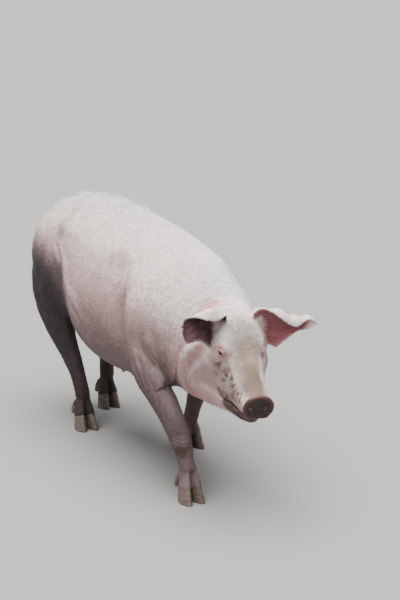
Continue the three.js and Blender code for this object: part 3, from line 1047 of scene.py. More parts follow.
@dataclass
class Skin:
    """The whole skin, from the frame's pieces of flesh."""

    voxel: float = 2.5 * MM
    quick_voxel: float = 4 * MM
    plug: float = 13.6 * MM  # radius of the ball that fills each eye's hole
    most_triangles: int = 190_000
    depth: float = 3 * MM  # of the coat on the trunk
    ear_spare: float = 1.6 * MM  # added to the ears' faces before they are run together
    ear_depth: float = 1.0 * MM
    ear_rounds: int = 160
    border: int = 24  # rounds by which one region runs into the next
    regions: dict[Region, Array] = field(default_factory=dict)

    @property
    def flesh(self) -> list[str]:
        """Names of the frame's pieces of flesh."""
        return [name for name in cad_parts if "claw" not in name and not name.startswith("eye_")]

    def gathered(self) -> tuple[Mesh, BVHTree, list[str]]:
        """The pieces of flesh in one mesh, with their places.

        Returns:
            The mesh, a search tree of its faces and each face's piece.
        """
        work = bmesh.new()
        owners = []
        for name in self.flesh:
            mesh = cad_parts[name].data
            work.from_mesh(mesh)
            owners += [name] * len(mesh.polygons)
        tree = BVHTree.FromBMesh(work)
        bmesh.ops.remove_doubles(work, verts=work.verts, dist=WELD)
        for name in ("ear_right", "ear_left"):
            self.thicken(work, name)
        for side in SIDES:
            place = Matrix.Translation(Lids(side).centre)
            bmesh.ops.create_icosphere(work, subdivisions=3, radius=self.plug, matrix=place)
        return from_bmesh(work, "gathered"), tree, owners

    def thicken(self, work: bmesh.types.BMesh, name: str) -> None:
        """Add a thicker copy of a piece.

        Args:
            work: the bmesh that takes the copy.
            name: the piece.
        """
        extra = bmesh.new()
        extra.from_mesh(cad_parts[name].data)
        bmesh.ops.remove_doubles(extra, verts=extra.verts, dist=WELD)
        extra.normal_update()
        for vertex in extra.verts:
            vertex.co += vertex.normal * self.ear_spare
        mesh = from_bmesh(extra, "thicker")
        work.from_mesh(mesh)
        bpy.data.meshes.remove(mesh)

    def find_regions(self, surface: Surface, tree: BVHTree, owners: list[str]) -> None:
        """Note how much of each part of the body each point is.

        Args:
            surface: the skin.
            tree: search tree of the frame's faces.
            owners: the piece that each face belongs to.
        """
        kinds = {name: region_of(name).value for name in self.flesh}
        nearest = (tree.find_nearest(point)[2] for point in map(Vector, surface.points))
        labels = np.array([kinds[owners[face]] for face in nearest])
        for region in Region:
            self.regions[region] = surface.spread((labels == region.value).astype(float), self.border)

    def build(self) -> Surface:
        """Make the skin.

        Returns:
            The finished surface.
        """
        mesh, tree, owners = self.gathered()
        voxel = self.voxel
        mesh = modified(mesh, "REMESH", mode="VOXEL", voxel_size=voxel, adaptivity=0)
        surface = Surface(mesh)
        log.info("skin: %d points run together", len(surface.points))
        self.find_regions(surface, tree, owners)
        self.smooth(surface, self.voxel / voxel)
        surface = Surface(self.refined(surface.mesh))
        self.find_regions(surface, tree, owners)
        self.work(surface)
        surface.write()
        surface = Surface(self.thinned(surface.mesh))
        self.find_regions(surface, tree, owners)
        return surface

    def smooth(self, surface: Surface, scale: float) -> None:
        """Take the facets out: most on the trunk, least on ears and snout.

        Args:
            surface: the skin, just run together.
            scale: size of the usual voxel against this one.
        """
        region = self.regions
        light, firm, heavy = (surface.smoothed(max(2, round(n * scale**2))) for n in (12, 34, 260))
        face = HEAD.inside(surface.points)
        ear = np.clip(region[Region.EAR] * 1.6, 0, 1)
        surface.faired(np.flatnonzero(ear > 0.01), round(self.ear_rounds * scale**2))
        light += (ear * step(np.abs(face[:, 1]), 0.045, 0.065))[:, None] * (surface.points - light)
        fine = np.clip(ear + step(face[:, 0], 0.12, 0.15) * region[Region.HEAD], 0, 1)[:, None]
        broad = np.clip(region[Region.TRUNK] - region[Region.LEG] - region[Region.TAIL], 0, 1)
        broad = (broad * step(face[:, 0], -0.06, -0.14))[:, None]
        surface.points = fine * light + (1 - fine) * (broad * heavy + (1 - broad) * firm)
        depth = self.depth * (0.35 + 0.65 * broad[:, 0]) * (1 - 0.8 * fine[:, 0])
        depth = depth * (1 - ear) + self.ear_depth * ear
        low = step(surface.points[:, 2], 0.085, 0.045)
        depth += low * (-0.9 * MM - depth)
        surface.points -= depth[:, None] * surface.normals
        surface.write()

    @staticmethod
    def refined(mesh: Mesh) -> Mesh:
        """Finer faces round the eyes, at the mouth and on the snout.

        Args:
            mesh: the smoothed skin.

        Returns:
            The mesh with more faces there.
        """
        work = bmesh.new()
        work.from_mesh(mesh)
        eyes = [Lids(side).centre for side in SIDES]
        for reach, snout in ((30 * MM, True), (20 * MM, False)):
            points = np.array([vertex.co for vertex in work.verts])
            face = HEAD.inside(points)
            chosen = np.min([np.linalg.norm(points - eye, axis=1) for eye in eyes], axis=0) < reach
            if snout:
                chosen |= (face[:, 0] > 0.138) | (np.abs(Mouth().above(face)) < 9 * MM) & (face[:, 0] > 0.055)
            verts = {vertex for vertex, yes in zip(work.verts, chosen) if yes}
            edges = [edge for edge in work.edges if edge.verts[0] in verts and edge.verts[1] in verts]
            bmesh.ops.subdivide_edges(work, edges=edges, cuts=1, use_grid_fill=True)
        bmesh.ops.triangulate(work, faces=work.faces)
        bpy.data.meshes.remove(mesh)
        return from_bmesh(work, "refined")

    def work(self, surface: Surface) -> None:
        """Shape the muscles, folds, lids, mouth, snout and ears.

        Args:
            surface: the refined skin.
        """
        normals = surface.normals
        for shaper in (*SWELLS, *FOLDS, *Legs().folds(), *WRINKLES, Teats(), Rear()):
            shaper.shape(surface, normals)
        self.soften(surface, normals)
        self.rib_ears(surface, normals)
        Mouth().shape(surface, normals)
        Snout().shape(surface)
        for side in SIDES:
            Lids(side).shape(surface)

    def soften(self, surface: Surface, normals: Array) -> None:
        """Give the flesh its slight unevenness.

        Args:
            surface: the skin.
            normals: its outward directions.
        """
        region = self.regions
        points = surface.points
        body = np.clip(region[Region.TRUNK] + 0.5 * region[Region.LEG], 0, 1)
        uneven = body * (1.5 * NOISE(points * [1, 1, 0.7], 95 * MM) + 0.4 * NOISE(points, 34 * MM))
        uneven += region[Region.HEAD] * 0.5 * NOISE(points, 22 * MM)
        creased = 1 - np.abs(NOISE(points * [1, 1, 0.45], 15 * MM)) * 2
        fine = 0.14 * NOISE(points, 9 * MM) - 0.1 * np.maximum(creased, 0)
        uneven += (body + region[Region.HEAD] * 0.6) * fine
        surface.points += (uneven * MM)[:, None] * normals

    def rib_ears(self, surface: Surface, normals: Array) -> None:
        """Raise the ridges inside the ears and the veins over their backs.

        Args:
            surface: the skin.
            normals: its outward directions.
        """
        for sheet in EARS:
            chosen = np.flatnonzero(near_ear(surface.points, self.regions[Region.EAR], sheet.side))
            inner, _, shares = sheet.read(surface.points[chosen], normals[chosen])
            inside = np.zeros(len(surface.points))
            inside[chosen] = inner
            inner = surface.spread(inside, 6)[chosen]
            along, around = shares.T
            ridges = np.cos(math.tau * 4.5 * around) * step(along, 0.95, 0.5) * step(around, 0.05, 0.2)
            veins = np.maximum(NOISE(surface.points[chosen], 16 * MM), 0) ** 2
            height = inner * ridges * 1.3 * MM + (1 - inner) * veins * 0.4 * MM
            surface.points[chosen] += height[:, None] * normals[chosen]

    def thinned(self, mesh: Mesh) -> Mesh:
        """Fewer triangles where the skin is plain.

        Args:
            mesh: the worked skin.

        Returns:
            The mesh under the limit.
        """
        count = len(mesh.polygons)
        share = min(1.0, self.most_triangles / count)
        log.info("skin: %d triangles thinned to %.0f%%", count, 100 * share)
        return modified(mesh, "DECIMATE", ratio=share, use_collapse_triangulate=True)


def near_ear(points: Array, ear: Array, side: str) -> Array:
    """Which places are on one ear, by how much of each is ear."""
    return (ear > 0.02) & (HEAD.inside(points)[:, 1] * SIDES[side] > 0)


# -------- marks

GAMMA = 2.2  # by which light is turned into steps that look even


class Tint(Enum):
    """Colours of skin, hair and dirt, as light they send back; some also carry painted light and shade."""

    PINK = (0.52, 0.28, 0.28)
    PALE = (0.64, 0.42, 0.41)
    ROSE = (0.62, 0.27, 0.29)
    MAROON = (0.20, 0.062, 0.072)
    DISC = (0.024, 0.013, 0.0125)
    RIM = (0.11, 0.044, 0.037)
    FLAP = (0.88, 0.72, 0.67)
    WHITE = (0.94, 0.93, 0.89)
    # pale skin where it faces up: painted light from above
    TOP_LIT_SKIN = (0.86, 0.76, 0.71)
    # hair on the sides; the WHITE drawn over it on top is painted light from above
    CREAM = (0.62, 0.45, 0.44)
    # dirt on the lower legs, with painted shade
    SHANK_DIRT_AND_SHADE = (0.10, 0.066, 0.068)
    TAN = (0.26, 0.18, 0.122)
    DIRT = (0.075, 0.048, 0.036)
    # dust, and painted shade where the body is drawn darker low down and in creases
    DUST_AND_SHADE = (0.17, 0.115, 0.115)
    # mud; under the jaw and between the lips it is also painted shade
    MUD_AND_SHADE = (0.045, 0.028, 0.020)
    # mud on the hams, with painted shade
    HAM_MUD_AND_SHADE = (0.034, 0.024, 0.026)


@dataclass(frozen=True)
class Mark(Placed):
    """A patch or streak of another colour on skin and coat."""

    line: tuple[Triple, ...]  # one place or more
    reach: float  # millimetres
    tint: Tint
    strength: float
    ragged: float = 0.5
    speckled: float = 0.0  # how far it breaks up into flecks
    inner: float = 0.45  # share of the reach at which it begins to fade

    def share(self, points: Array) -> Array:
        """How strongly the mark shows at each place, 0 to 1.

        Args:
            points: places on the skin.

        Returns:
            The shares.
        """
        reach = self.reach * MM
        total = np.zeros(len(points))
        for path in self.lines(self.line):
            near = near_line(points, path, 2.5 * reach)
            place = points[near]
            offset = line_distance(place, path)[0] if len(path) > 1 else place - path[0]
            away = np.linalg.norm(offset, axis=1) / reach
            edge = NOISE(place, 0.6 * reach) * 0.5 + NOISE(place, 0.2 * reach) * 0.3
            away += self.ragged * edge
            flecks = step(NOISE(place, 9 * MM) + 0.6 * NOISE(place, 4 * MM), -0.1, 0.35)
            shown = step(away, 1.15, self.inner) * (1 - self.speckled + self.speckled * flecks)
            total[near] = np.maximum(total[near], shown)
        return total * self.strength


MARKS = (
    Mark(((468, -59, 552),), 34, Tint.ROSE, 0.55),
    Mark(((-5, 58, -3),), 24, Tint.ROSE, 0.85, **FACE, ragged=0.3),
    Mark(((14, 48, 2),), 15, Tint.MAROON, 0.4, **FACE, ragged=0.5),
    Mark(((-70, 60, -20), (-40, 80, -60)), 30, Tint.ROSE, 0.25, **FACE),
    Mark(((-20, 4, 44), (30, 4, 28)), 58, Tint.DIRT, 0.45, on_head=True, inner=0.2),
    Mark(((30, -14, 26), (70, -16, 22), (110, -16, 18)), 44, Tint.DIRT, 0.45, on_head=True, inner=0.2),
    Mark(((8, 14, 27), (60, 10, 24), (110, -4, 21), (150, -8, 20)), 30, Tint.TAN, 0.66, on_head=True),
    Mark(((90, 0, 24), (165, 0, 18)), 50, Tint.DIRT, 0.72, on_head=True, inner=0.1),
    # Dust and painted shade on the cheeks below the eyes.
    Mark(((10, -62, -20), (60, -54, -50), (110, -40, -50)), 44, Tint.DUST_AND_SHADE, 0.3, **FACE),
    Mark(((30, -54, -14), (70, -50, -26), (110, -44, -28)), 40, Tint.DIRT, 0.3, on_head=True, inner=0.1),
    # Dust and painted shade on the jowls.
    Mark(((0, -72, -60), (-40, -84, -100)), 60, Tint.DUST_AND_SHADE, 0.25, **FACE, inner=0.1),
    # Painted shade along the crease behind the right shoulder.
    Mark(((160, -150, 520), (170, -158, 450), (164, -154, 400)), 40, Tint.DUST_AND_SHADE, 0.4, inner=0.0),
    # Dust and painted shade along the lower flanks.
    Mark(((-60, -150, 400), (60, -150, 380)), 90, Tint.DUST_AND_SHADE, 0.3, both=True, inner=0.0),
    Mark(((22, -60, -22), (46, -57, -33), (72, -50, -34), (92, -46, -36)), 20, Tint.MUD_AND_SHADE, 0.75,
         on_head=True, speckled=0.85),
    Mark(((51, -47, -12), (85, -45, -22), (106, -44, -24), (145, -35, -4)), 18, Tint.MUD_AND_SHADE, 0.75,
         on_head=True, speckled=0.85),
    Mark(((62, -53, -77), (82, -46, -76), (112, -36, -70)), 18, Tint.MUD_AND_SHADE, 0.85, on_head=True,
         speckled=0.5),
    Mark(((70, 52, -60), (110, 40, -50)), 18, Tint.MUD_AND_SHADE, 0.7, on_head=True, speckled=0.9),
    # Mud and painted shade along the jaw, on the chin and under the snout.
    Mark(((92, -34, -96), (125, -30, -84), (155, -16, -62), (160, 10, -60), (120, 30, -84)), 22,
         Tint.MUD_AND_SHADE, 0.82, on_head=True, ragged=0.7),
    Mark(((140, -12, -76), (160, 0, -58), (140, 12, -76)), 26, Tint.MUD_AND_SHADE, 0.8, on_head=True),
    # Mud and painted shade on the hams and down the hind legs, and by the fold in front of the right ham.
    Mark(((-470, -140, 440), (-410, -146, 400), (-385, -127, 286)), 160, Tint.HAM_MUD_AND_SHADE, 1.0, ragged=0.3,
         inner=0.15),
    Mark(((-323, -141, 500), (-310, -145, 440)), 70, Tint.HAM_MUD_AND_SHADE, 0.6, ragged=0.4, inner=0.1),
    Mark(((-385, -127, 286), (-366, -81, 222), (-330, -78, 150), (-300, -71, 60)), 90, Tint.HAM_MUD_AND_SHADE, 0.97,
         ragged=0.3),
    Mark(((-460, 160, 400), (-430, 150, 320)), 160, Tint.HAM_MUD_AND_SHADE, 0.92, ragged=0.4, inner=0.0),
    Mark(((-430, 140, 330), (-490, 102, 222), (-478, 92, 60)), 90, Tint.HAM_MUD_AND_SHADE, 0.95, ragged=0.3),
    # Dust and painted shade low on both flanks, above the belly.
    Mark(((-180, -140, 320), (-60, -130, 290), (90, -120, 290)), 60, Tint.DUST_AND_SHADE, 0.6, ragged=0.5),
    Mark(((-180, 160, 320), (-60, 160, 290), (60, 150, 290)), 60, Tint.DUST_AND_SHADE, 0.6, ragged=0.5),
    Mark(((-331, -102, 655), (-339, -122, 618)), 30, Tint.DUST_AND_SHADE, 0.24, ragged=1.0, inner=0.1),
    Mark(((-327, -76, 684),), 30, Tint.DUST_AND_SHADE, 0.22, ragged=1.0, inner=0.1),
    Mark(((49, -124, 615), (111, -123, 606)), 36, Tint.DUST_AND_SHADE, 0.3, ragged=0.9, inner=0.1),
    Mark(((-240, 130, 640), (-180, 150, 600)), 30, Tint.DUST_AND_SHADE, 0.22, ragged=1.0, inner=0.1),
    Mark(((417, -112, 145),), 26, Tint.MUD_AND_SHADE, 0.75, inner=0.1),
    Mark(((412, -98, 66), (420, -100, 44)), 18, Tint.MUD_AND_SHADE, 0.6, inner=0.1),
    Mark(((-296, -93, 94), (-310, -90, 130)), 34, Tint.MUD_AND_SHADE, 0.6),
    Mark(((-478, 92, 90), (-470, 110, 150)), 34, Tint.MUD_AND_SHADE, 0.5),
    Mark(((40, 150, 150), (20, 150, 100)), 24, Tint.MUD_AND_SHADE, 0.45),
)


def mixed(first: Tint | Array, second: Tint | Triple | Array, share: Array) -> Array:
    """Colours drawn towards a second one by a share for each place, in steps that look even.

    Args:
        first: a colour, or one for each place.
        second: the other colour.
        share: how much of the second there is at each place.

    Returns:
        The colours.
    """
    colours = [each.value if isinstance(each, Tint) else each for each in (first, second)]
    start, end = (np.clip(colour, 0, 1) ** (1 / GAMMA) for colour in colours)
    return (start + (end - start) * np.clip(share, 0, 1)[:, None]) ** GAMMA


class Hide:
    """What the skin and the coat look like at each point of the finished skin."""

    def __init__(self, surface: Surface, regions: dict[Region, Array]) -> None:
        """Work out every field.

        Args:
            surface: the finished skin.
            regions: how much of each part of the body each point is.
        """
        self.surface = surface
        self.points = surface.points
        self.normals = surface.normals
        self.region = regions
        self.face = HEAD.inside(self.points)
        self.on_face = step(self.face[:, 0], -0.115, -0.075) * step(regions[Region.HEAD], 0.15, 0.6)
        self.disc = Snout().on_disc(self.face) * self.on_face
        self.tail = np.clip(regions[Region.TAIL] * 1.3, 0, 1)
        self.leg = np.clip(regions[Region.LEG] * 1.2, 0, 1)
        self.read_ears()
        self.read_eyes()
        self.way = self.lie()
        self.length = self.lengths()
        self.lift = self.lifts()
        self.skin, self.hair = self.colours()
        self.wet = self.wetness()
        self.thick = self.thickness()

    def read_ears(self) -> None:
        """Find the ears' inner faces, rims and ways to the tip."""
        count = len(self.points)
        self.ear_inside, self.ear_rim = np.zeros(count), np.zeros(count)
        self.ear_along, self.ear_way = np.zeros(count), np.zeros((count, 3))
        self.ear = np.clip(self.region[Region.EAR] * 1.3, 0, 1)
        for sheet in EARS:
            chosen = np.flatnonzero(near_ear(self.points, self.region[Region.EAR], sheet.side))
            inside, ways, shares = sheet.read(self.points[chosen], self.normals[chosen])
            along, around = shares.T
            self.ear_inside[chosen] = inside * self.ear[chosen]
            self.ear_rim[chosen] = np.maximum(step(around, 0.07, 0.0), step(around, 0.93, 1.0))
            self.ear_rim[chosen] = np.maximum(self.ear_rim[chosen], step(along, 0.93, 1.0)) * self.ear[chosen]
            self.ear_along[chosen], self.ear_way[chosen] = along, ways
        self.ear_inside = self.surface.spread(self.ear_inside, 4)

    def read_eyes(self) -> None:
        """Find how far each point is from the eyes' openings."""
        self.from_eye = np.ones(len(self.points))
        self.lash = np.zeros(len(self.points))
        for side in SIDES:
            edge, up = Lids(side).beyond(self.points)
            self.from_eye = np.minimum(self.from_eye, edge)
            self.lash += bell(edge - 1.6 * MM, 1.1 * MM) * (step(up, 0.5 * MM, 3 * MM) + 0.25)

    def lips(self, half: float, start: float, end: float) -> Array:
        """How near each point is to the line between the lips, which begins at a place along the face."""
        return bell(Mouth().above(self.face), half) * step(self.face[:, 0], start, end) * self.on_face

    def lie(self) -> Array:
        """The way the hair lies at each point.

        Returns:
            Directions along the skin.
        """
        points = self.points
        aside = self.normals[:, 1]
        down = 0.12 + 0.42 * np.abs(aside)
        way = np.stack([-np.ones(len(points)), 0.12 * aside, -down], 1)
        neck = step(points[:, 0], 0.16, 0.32)[:, None]
        way += neck * np.array([0.1, 0, -0.3])
        spread = self.face[:, 1] / 0.07
        on_face = np.stack([-np.ones(len(points)), 0.55 * spread, -0.25 * np.abs(spread)], 1) @ HEAD.turn.T
        way += self.on_face[:, None] * (2.5 * on_face - way)
        leg = self.leg * step(points[:, 2], 0.46, 0.34)
        way += leg[:, None] * (np.array([-0.22, 0, -1.0]) - way)
        way += self.ear[:, None] * (self.ear_way - way)
        way += self.tail[:, None] * (Tail().ways(points) - way)
        turned = 0.22 * NOISE(points, 90 * MM) + 0.04 * NOISE(points, 20 * MM)
        way = unit(way) + np.cross(self.normals, unit(way)) * turned[:, None]
        way -= self.normals * np.sum(way * self.normals, axis=1)[:, None]
        return unit(way + 1e-9)

    def lengths(self) -> Array:
        """How long the hair is at each point, in metres.

        Returns:
            The lengths.
        """
        length = 14 - 3 * step(self.normals[:, 2], -0.2, -0.7)
        leg = self.leg * step(self.points[:, 2], 0.45, 0.30)
        length += leg * (9 - 3 * step(self.points[:, 2], 0.16, 0.06) - length)
        length += self.on_face * (9 - 5 * step(self.face[:, 0], 0.02, 0.14) - length)
        length += self.ear * (4.5 - length)
        length += self.tail * (15 - length)
        length *= 1 - 0.5 * step(self.from_eye, 14 * MM, 3 * MM)
        return length * MM

    def lifts(self) -> Array:
        """How far the hair stands off the skin at each point, in degrees.

        Returns:
            The angles.
        """
        top = step(self.normals[:, 2], 0.6, 0.95)
        forehead = self.on_face * step(self.face[:, 2], 0.0, 0.03) * step(self.face[:, 0], 0.06, 0.0)
        lift = 4 + 3 * top + 9 * forehead + 2 * self.ear
        spine = bell(self.points[:, 1] - MIDDLE, 70 * MM) * step(self.points[:, 2], 0.55, 0.6) * top
        spine *= 1 - self.ear
        locks = step(NOISE(self.points, 20 * MM), 0.15, 0.45)
        lift += 16 * spine * locks * step(self.points[:, 0], -0.05, -0.2)
        return lift + 1.5 * NOISE(self.points, 25 * MM)

    def colours(self) -> tuple[Array, Array]:
        """The colours of the skin and of the hair on it, with painted light and shade.

        Returns:
            Two arrays of colours.
        """
        points = self.points
        blotch = 0.5 + 0.5 * NOISE(points, 80 * MM) + 0.3 * NOISE(points, 24 * MM)
        skin = mixed(Tint.PALE, Tint.PINK, blotch)
        # Painted light from above: hair and skin that face up, a little more so on the neck, are drawn paler
        # than the sides.
        neck = step(points[:, 0], 0.22, 0.38)
        top = step(self.normals[:, 2] + 0.25 * neck, -0.1, 0.75)
        hair = mixed(Tint.CREAM, Tint.WHITE, top)
        skin = mixed(skin, Tint.TOP_LIT_SKIN, 0.75 * top)
        below = step(self.normals[:, 2], -0.25, -0.8)
        skin = mixed(skin, Tint.ROSE, 0.3 * below)
        # Dust and painted shade: the body is drawn darker lower down, towards the belly.
        low = step(points[:, 2], 0.53, 0.29) * step(points[:, 0], 0.42, 0.34)
        low *= 0.9 + 0.1 * NOISE(points, 60 * MM)
        skin, hair = mixed(skin, Tint.DUST_AND_SHADE, low), mixed(hair, Tint.DUST_AND_SHADE, low)
        # Dirt and painted shade on the lower legs; the hair there is drawn lighter than the skin, as painted
        # light against the tufts' own shadow.
        leg_grime_and_shade = self.leg * step(points[:, 2], 0.44, 0.19) * (0.85 + 0.15 * NOISE(points, 40 * MM))
        shank = np.array(Tint.SHANK_DIRT_AND_SHADE.value)
        skin, hair = mixed(skin, 0.75 * shank, leg_grime_and_shade), mixed(hair, 1.5 * shank, leg_grime_and_shade)
        muddy = step(points[:, 2] + 0.02 * NOISE(points, 25 * MM), 0.13, 0.03)
        skin, hair = mixed(skin, Tint.DUST_AND_SHADE, 0.75 * muddy), mixed(hair, Tint.DUST_AND_SHADE, 0.7 * muddy)
        inside = self.ear_inside * (1 - 0.35 * self.ear_rim)
        skin = mixed(skin, Tint.FLAP, 0.7 * self.ear)
        hair = mixed(hair, Tint.WHITE, 0.85 * self.ear)
        # Painted shadow of the flap: the inside of the right ear is drawn far darker than the left ear's.
        flap_shaded_side = self.face[:, 1] < 0
        inside *= np.where(flap_shaded_side, step(self.ear_along, 1.3, 0.95), step(self.ear_along, 0.98, 0.75))
        maroon_with_painted_shadow = np.array(Tint.MAROON.value) * np.where(flap_shaded_side, 0.18, 1.2)[:, None]
        skin, hair = mixed(skin, maroon_with_painted_shadow, inside), mixed(hair, maroon_with_painted_shadow, 0.85 * inside)
        skin = mixed(skin, Tint.MAROON, 0.75 * step(self.from_eye, 3.2 * MM, 0.4 * MM))
        teat = np.zeros(len(points))
        for along, across in Teats().places():
            teat += bell(np.hypot(points[:, 0] - along, points[:, 1] - across), 9 * MM)
        skin = mixed(skin, Tint.ROSE, 0.5 * teat * below)
        for mark in MARKS:
            share = mark.share(points)
            skin, hair = mixed(skin, mark.tint, share), mixed(hair, mark.tint, share)
        snout, disc = Snout(), self.disc
        skin = mixed(skin, Tint.DISC, disc * (0.95 + 0.05 * NOISE(points, 6 * MM)))
        hair = mixed(hair, Tint.DISC, disc)
        skin = mixed(skin, Tint.RIM, disc * 0.75 * step(snout.from_middle(self.face), 0.8, 0.95))
        hole = snout.hole(self.face)
        lower = step(self.face[:, 2] - snout.nostril[1], 6 * MM, 0)
        # Painted shade darkens the upper part of each nostril; the pink of its lower part is brightened as a
        # painted highlight.
        skin = mixed(skin, (0.006, 0.004, 0.004), disc * step(hole, 1.0, 0.7) * (1 - lower))
        skin = mixed(skin, (0.95, 0.42, 0.50), disc * step(hole, 1.05, 0.6) * lower)
        # Mud and painted shade along the line between the lips.
        lips = 0.9 * self.lips(4 * MM, 0.062, 0.08)
        return mixed(skin, Tint.MUD_AND_SHADE, lips), mixed(hair, Tint.MUD_AND_SHADE, lips)

    def wetness(self) -> Array:
        """How wet the skin is at each point, 0 to 1."""
        lips = self.lips(3 * MM, 0.065, 0.08)
        return np.clip(0.75 * self.disc + step(self.from_eye, 1.8 * MM, 0) + 0.15 * lips, 0, 1)

    def thickness(self) -> dict[str, Array]:
        """How thickly each kind of hair grows at each point.

        Returns:
            Shares by the kinds' names.
        """
        points, face = self.points, self.face
        bare = np.maximum(self.disc, step(self.from_eye, 3 * MM, 1.0 * MM))
        lips = self.lips(3.5 * MM, 0.06, 0.07)
        inner = self.ear_inside * (1 - self.ear_rim)
        below = step(self.normals[:, 2], -0.35, -0.85)
        below *= step(points[:, 2], 0.40, 0.30)
        below *= step(points[:, 2], 0.1, 0.2)
        cover = (1 - bare) * (1 - 0.9 * lips) * (1 - 0.95 * inner) * (1 - 0.5 * below)
        cover *= 1 - 0.5 * self.on_face * step(face[:, 0], 0.08, 0.16)
        cover *= step(points[:, 2], 0.018, 0.03)
        top = step(self.normals[:, 2], 0.25, 0.85) * step(points[:, 2], 0.45, 0.55) * (1 - self.ear)
        spine = top * bell(points[:, 1] - MIDDLE + 0.1 * np.maximum(points[:, 0] - 0.3, 0), 60 * MM)
        nape = step(points[:, 0], 0.30, 0.42) * top * (1 - self.ear)
        tufted = spine * step(NOISE(points, 22 * MM), 0.1, 0.4) * step(points[:, 0], -0.02, -0.16)
        forehead = self.on_face * step(face[:, 0], 0.05, -0.02) * step(face[:, 2], 0.0, 0.02) * (1 - self.ear)
        chin = self.on_face * step(self.normals @ HEAD.way(0, 0, 1), -0.1, -0.6)
        chin *= step(face[:, 0], -0.04, 0.04)
        cheek = step(face[:, 0], 0.0, -0.06) * step(face[:, 2], -0.02, -0.06) * self.region[Region.HEAD]
        return {
            "cover": np.clip(cover, 0, 1),
            "crest": spine + 1.2 * nape,
            "tufted": tufted,
            "forehead": forehead,
            "rim": self.ear_rim,
            "inner": self.ear_inside * step(self.ear_along, 0.75, 0.1) * step(self.ear_along, -0.1, 0.05),
            "lash": self.lash,
            "chin": chin * (1 - 0.8 * lips) * (1 - bare),
            "cheek": cheek * (1 - self.ear),
            "tail": self.tail,
            "tip": Tail().near_tip(points) * self.tail,
            "edge": np.clip(1 - np.abs(self.normals[:, 2]), 0.3, 1) * cover,
        }


@dataclass(frozen=True)
class Tail:
    """The line down the middle of the tail, one loop to the left of its root."""

    root: Triple = (-0.602, MIDDLE, 0.606)
    loop_at: Triple = (-0.710, MIDDLE, 0.578)
    loop: float = 0.031
    aside: float = 0.062
    turns: float = 1.35

    def line(self) -> Array:
        """Places along the tail, from its root to its tip.

        Returns:
            The places.
        """
        share = np.linspace(0, 1, 40)[:, None]
        angle = math.radians(70) + share * self.turns * math.tau
        reach = self.loop * (1 - 0.25 * share)
        round_loop = np.hstack([reach * np.cos(angle), self.aside * share**1.3, reach * np.sin(angle)])
        start = np.array([self.root, self.root]) - [[0, 0, 0], [0.038, 0, -0.008]]
        return np.vstack([start, np.array(self.loop_at) + round_loop])

    def ways(self, points: Array) -> Array:
        """The ways to the tip at places on the tail.

        Args:
            points: places on the tail.

        Returns:
            A way of length 1 for each.
        """
        line = self.line()
        nearest = self.nearest(points, line)
        return unit(np.gradient(line, axis=0))[nearest]

    def near_tip(self, points: Array) -> Array:
        """How near places are to the tip, 0 to 1."""
        line = self.line()
        return step(self.nearest(points, line) / len(line), 0.72, 0.95)

    @staticmethod
    def nearest(points: Array, line: Array) -> Array:
        """The number of the line's place that is nearest to each point.

        Args:
            points: any places.
            line: the line's places.

        Returns:
            The numbers.
        """
        best, found = np.full(len(points), np.inf), np.zeros(len(points), int)
        for index, place in enumerate(line):
            away = np.sum((points - place) ** 2, axis=1)
            found[away < best] = index
            best = np.minimum(best, away)
        return found


# -------- coat


@dataclass(frozen=True)
class Growth:
    """One kind of hair on a piece of the coat."""

    where: str  # which of the hide's kinds of thickness it follows
    count: int
    width: float = 0.66  # of a tuft at its root, in millimetres
    length: float = 1.0  # against the hide's length
    spare: float = 0.0  # length on top of that, in millimetres
    lift: float = 0.0  # degrees on top of the hide's
    bend: float | None = None  # degrees it curves by; None is a straight tuft of fewer faces
    stray: float = 0.16  # how far the ways differ from tuft to tuft
    clump: float = 0.06  # how far neighbours lean together
    pale: float = 0.0  # how far its colour is drawn to white
    outwards: float = 0.0  # how far it turns away from the eye


FLANK_HAIR = (Growth("cover", 44_000), Growth("edge", 1_800, lift=6, bend=6, stray=0.25))
LEG_HAIR = (
    Growth("cover", 32_000, 0.56),
    Growth("edge", 1_200, 0.6, 1.2, lift=7, bend=8, stray=0.3),
)


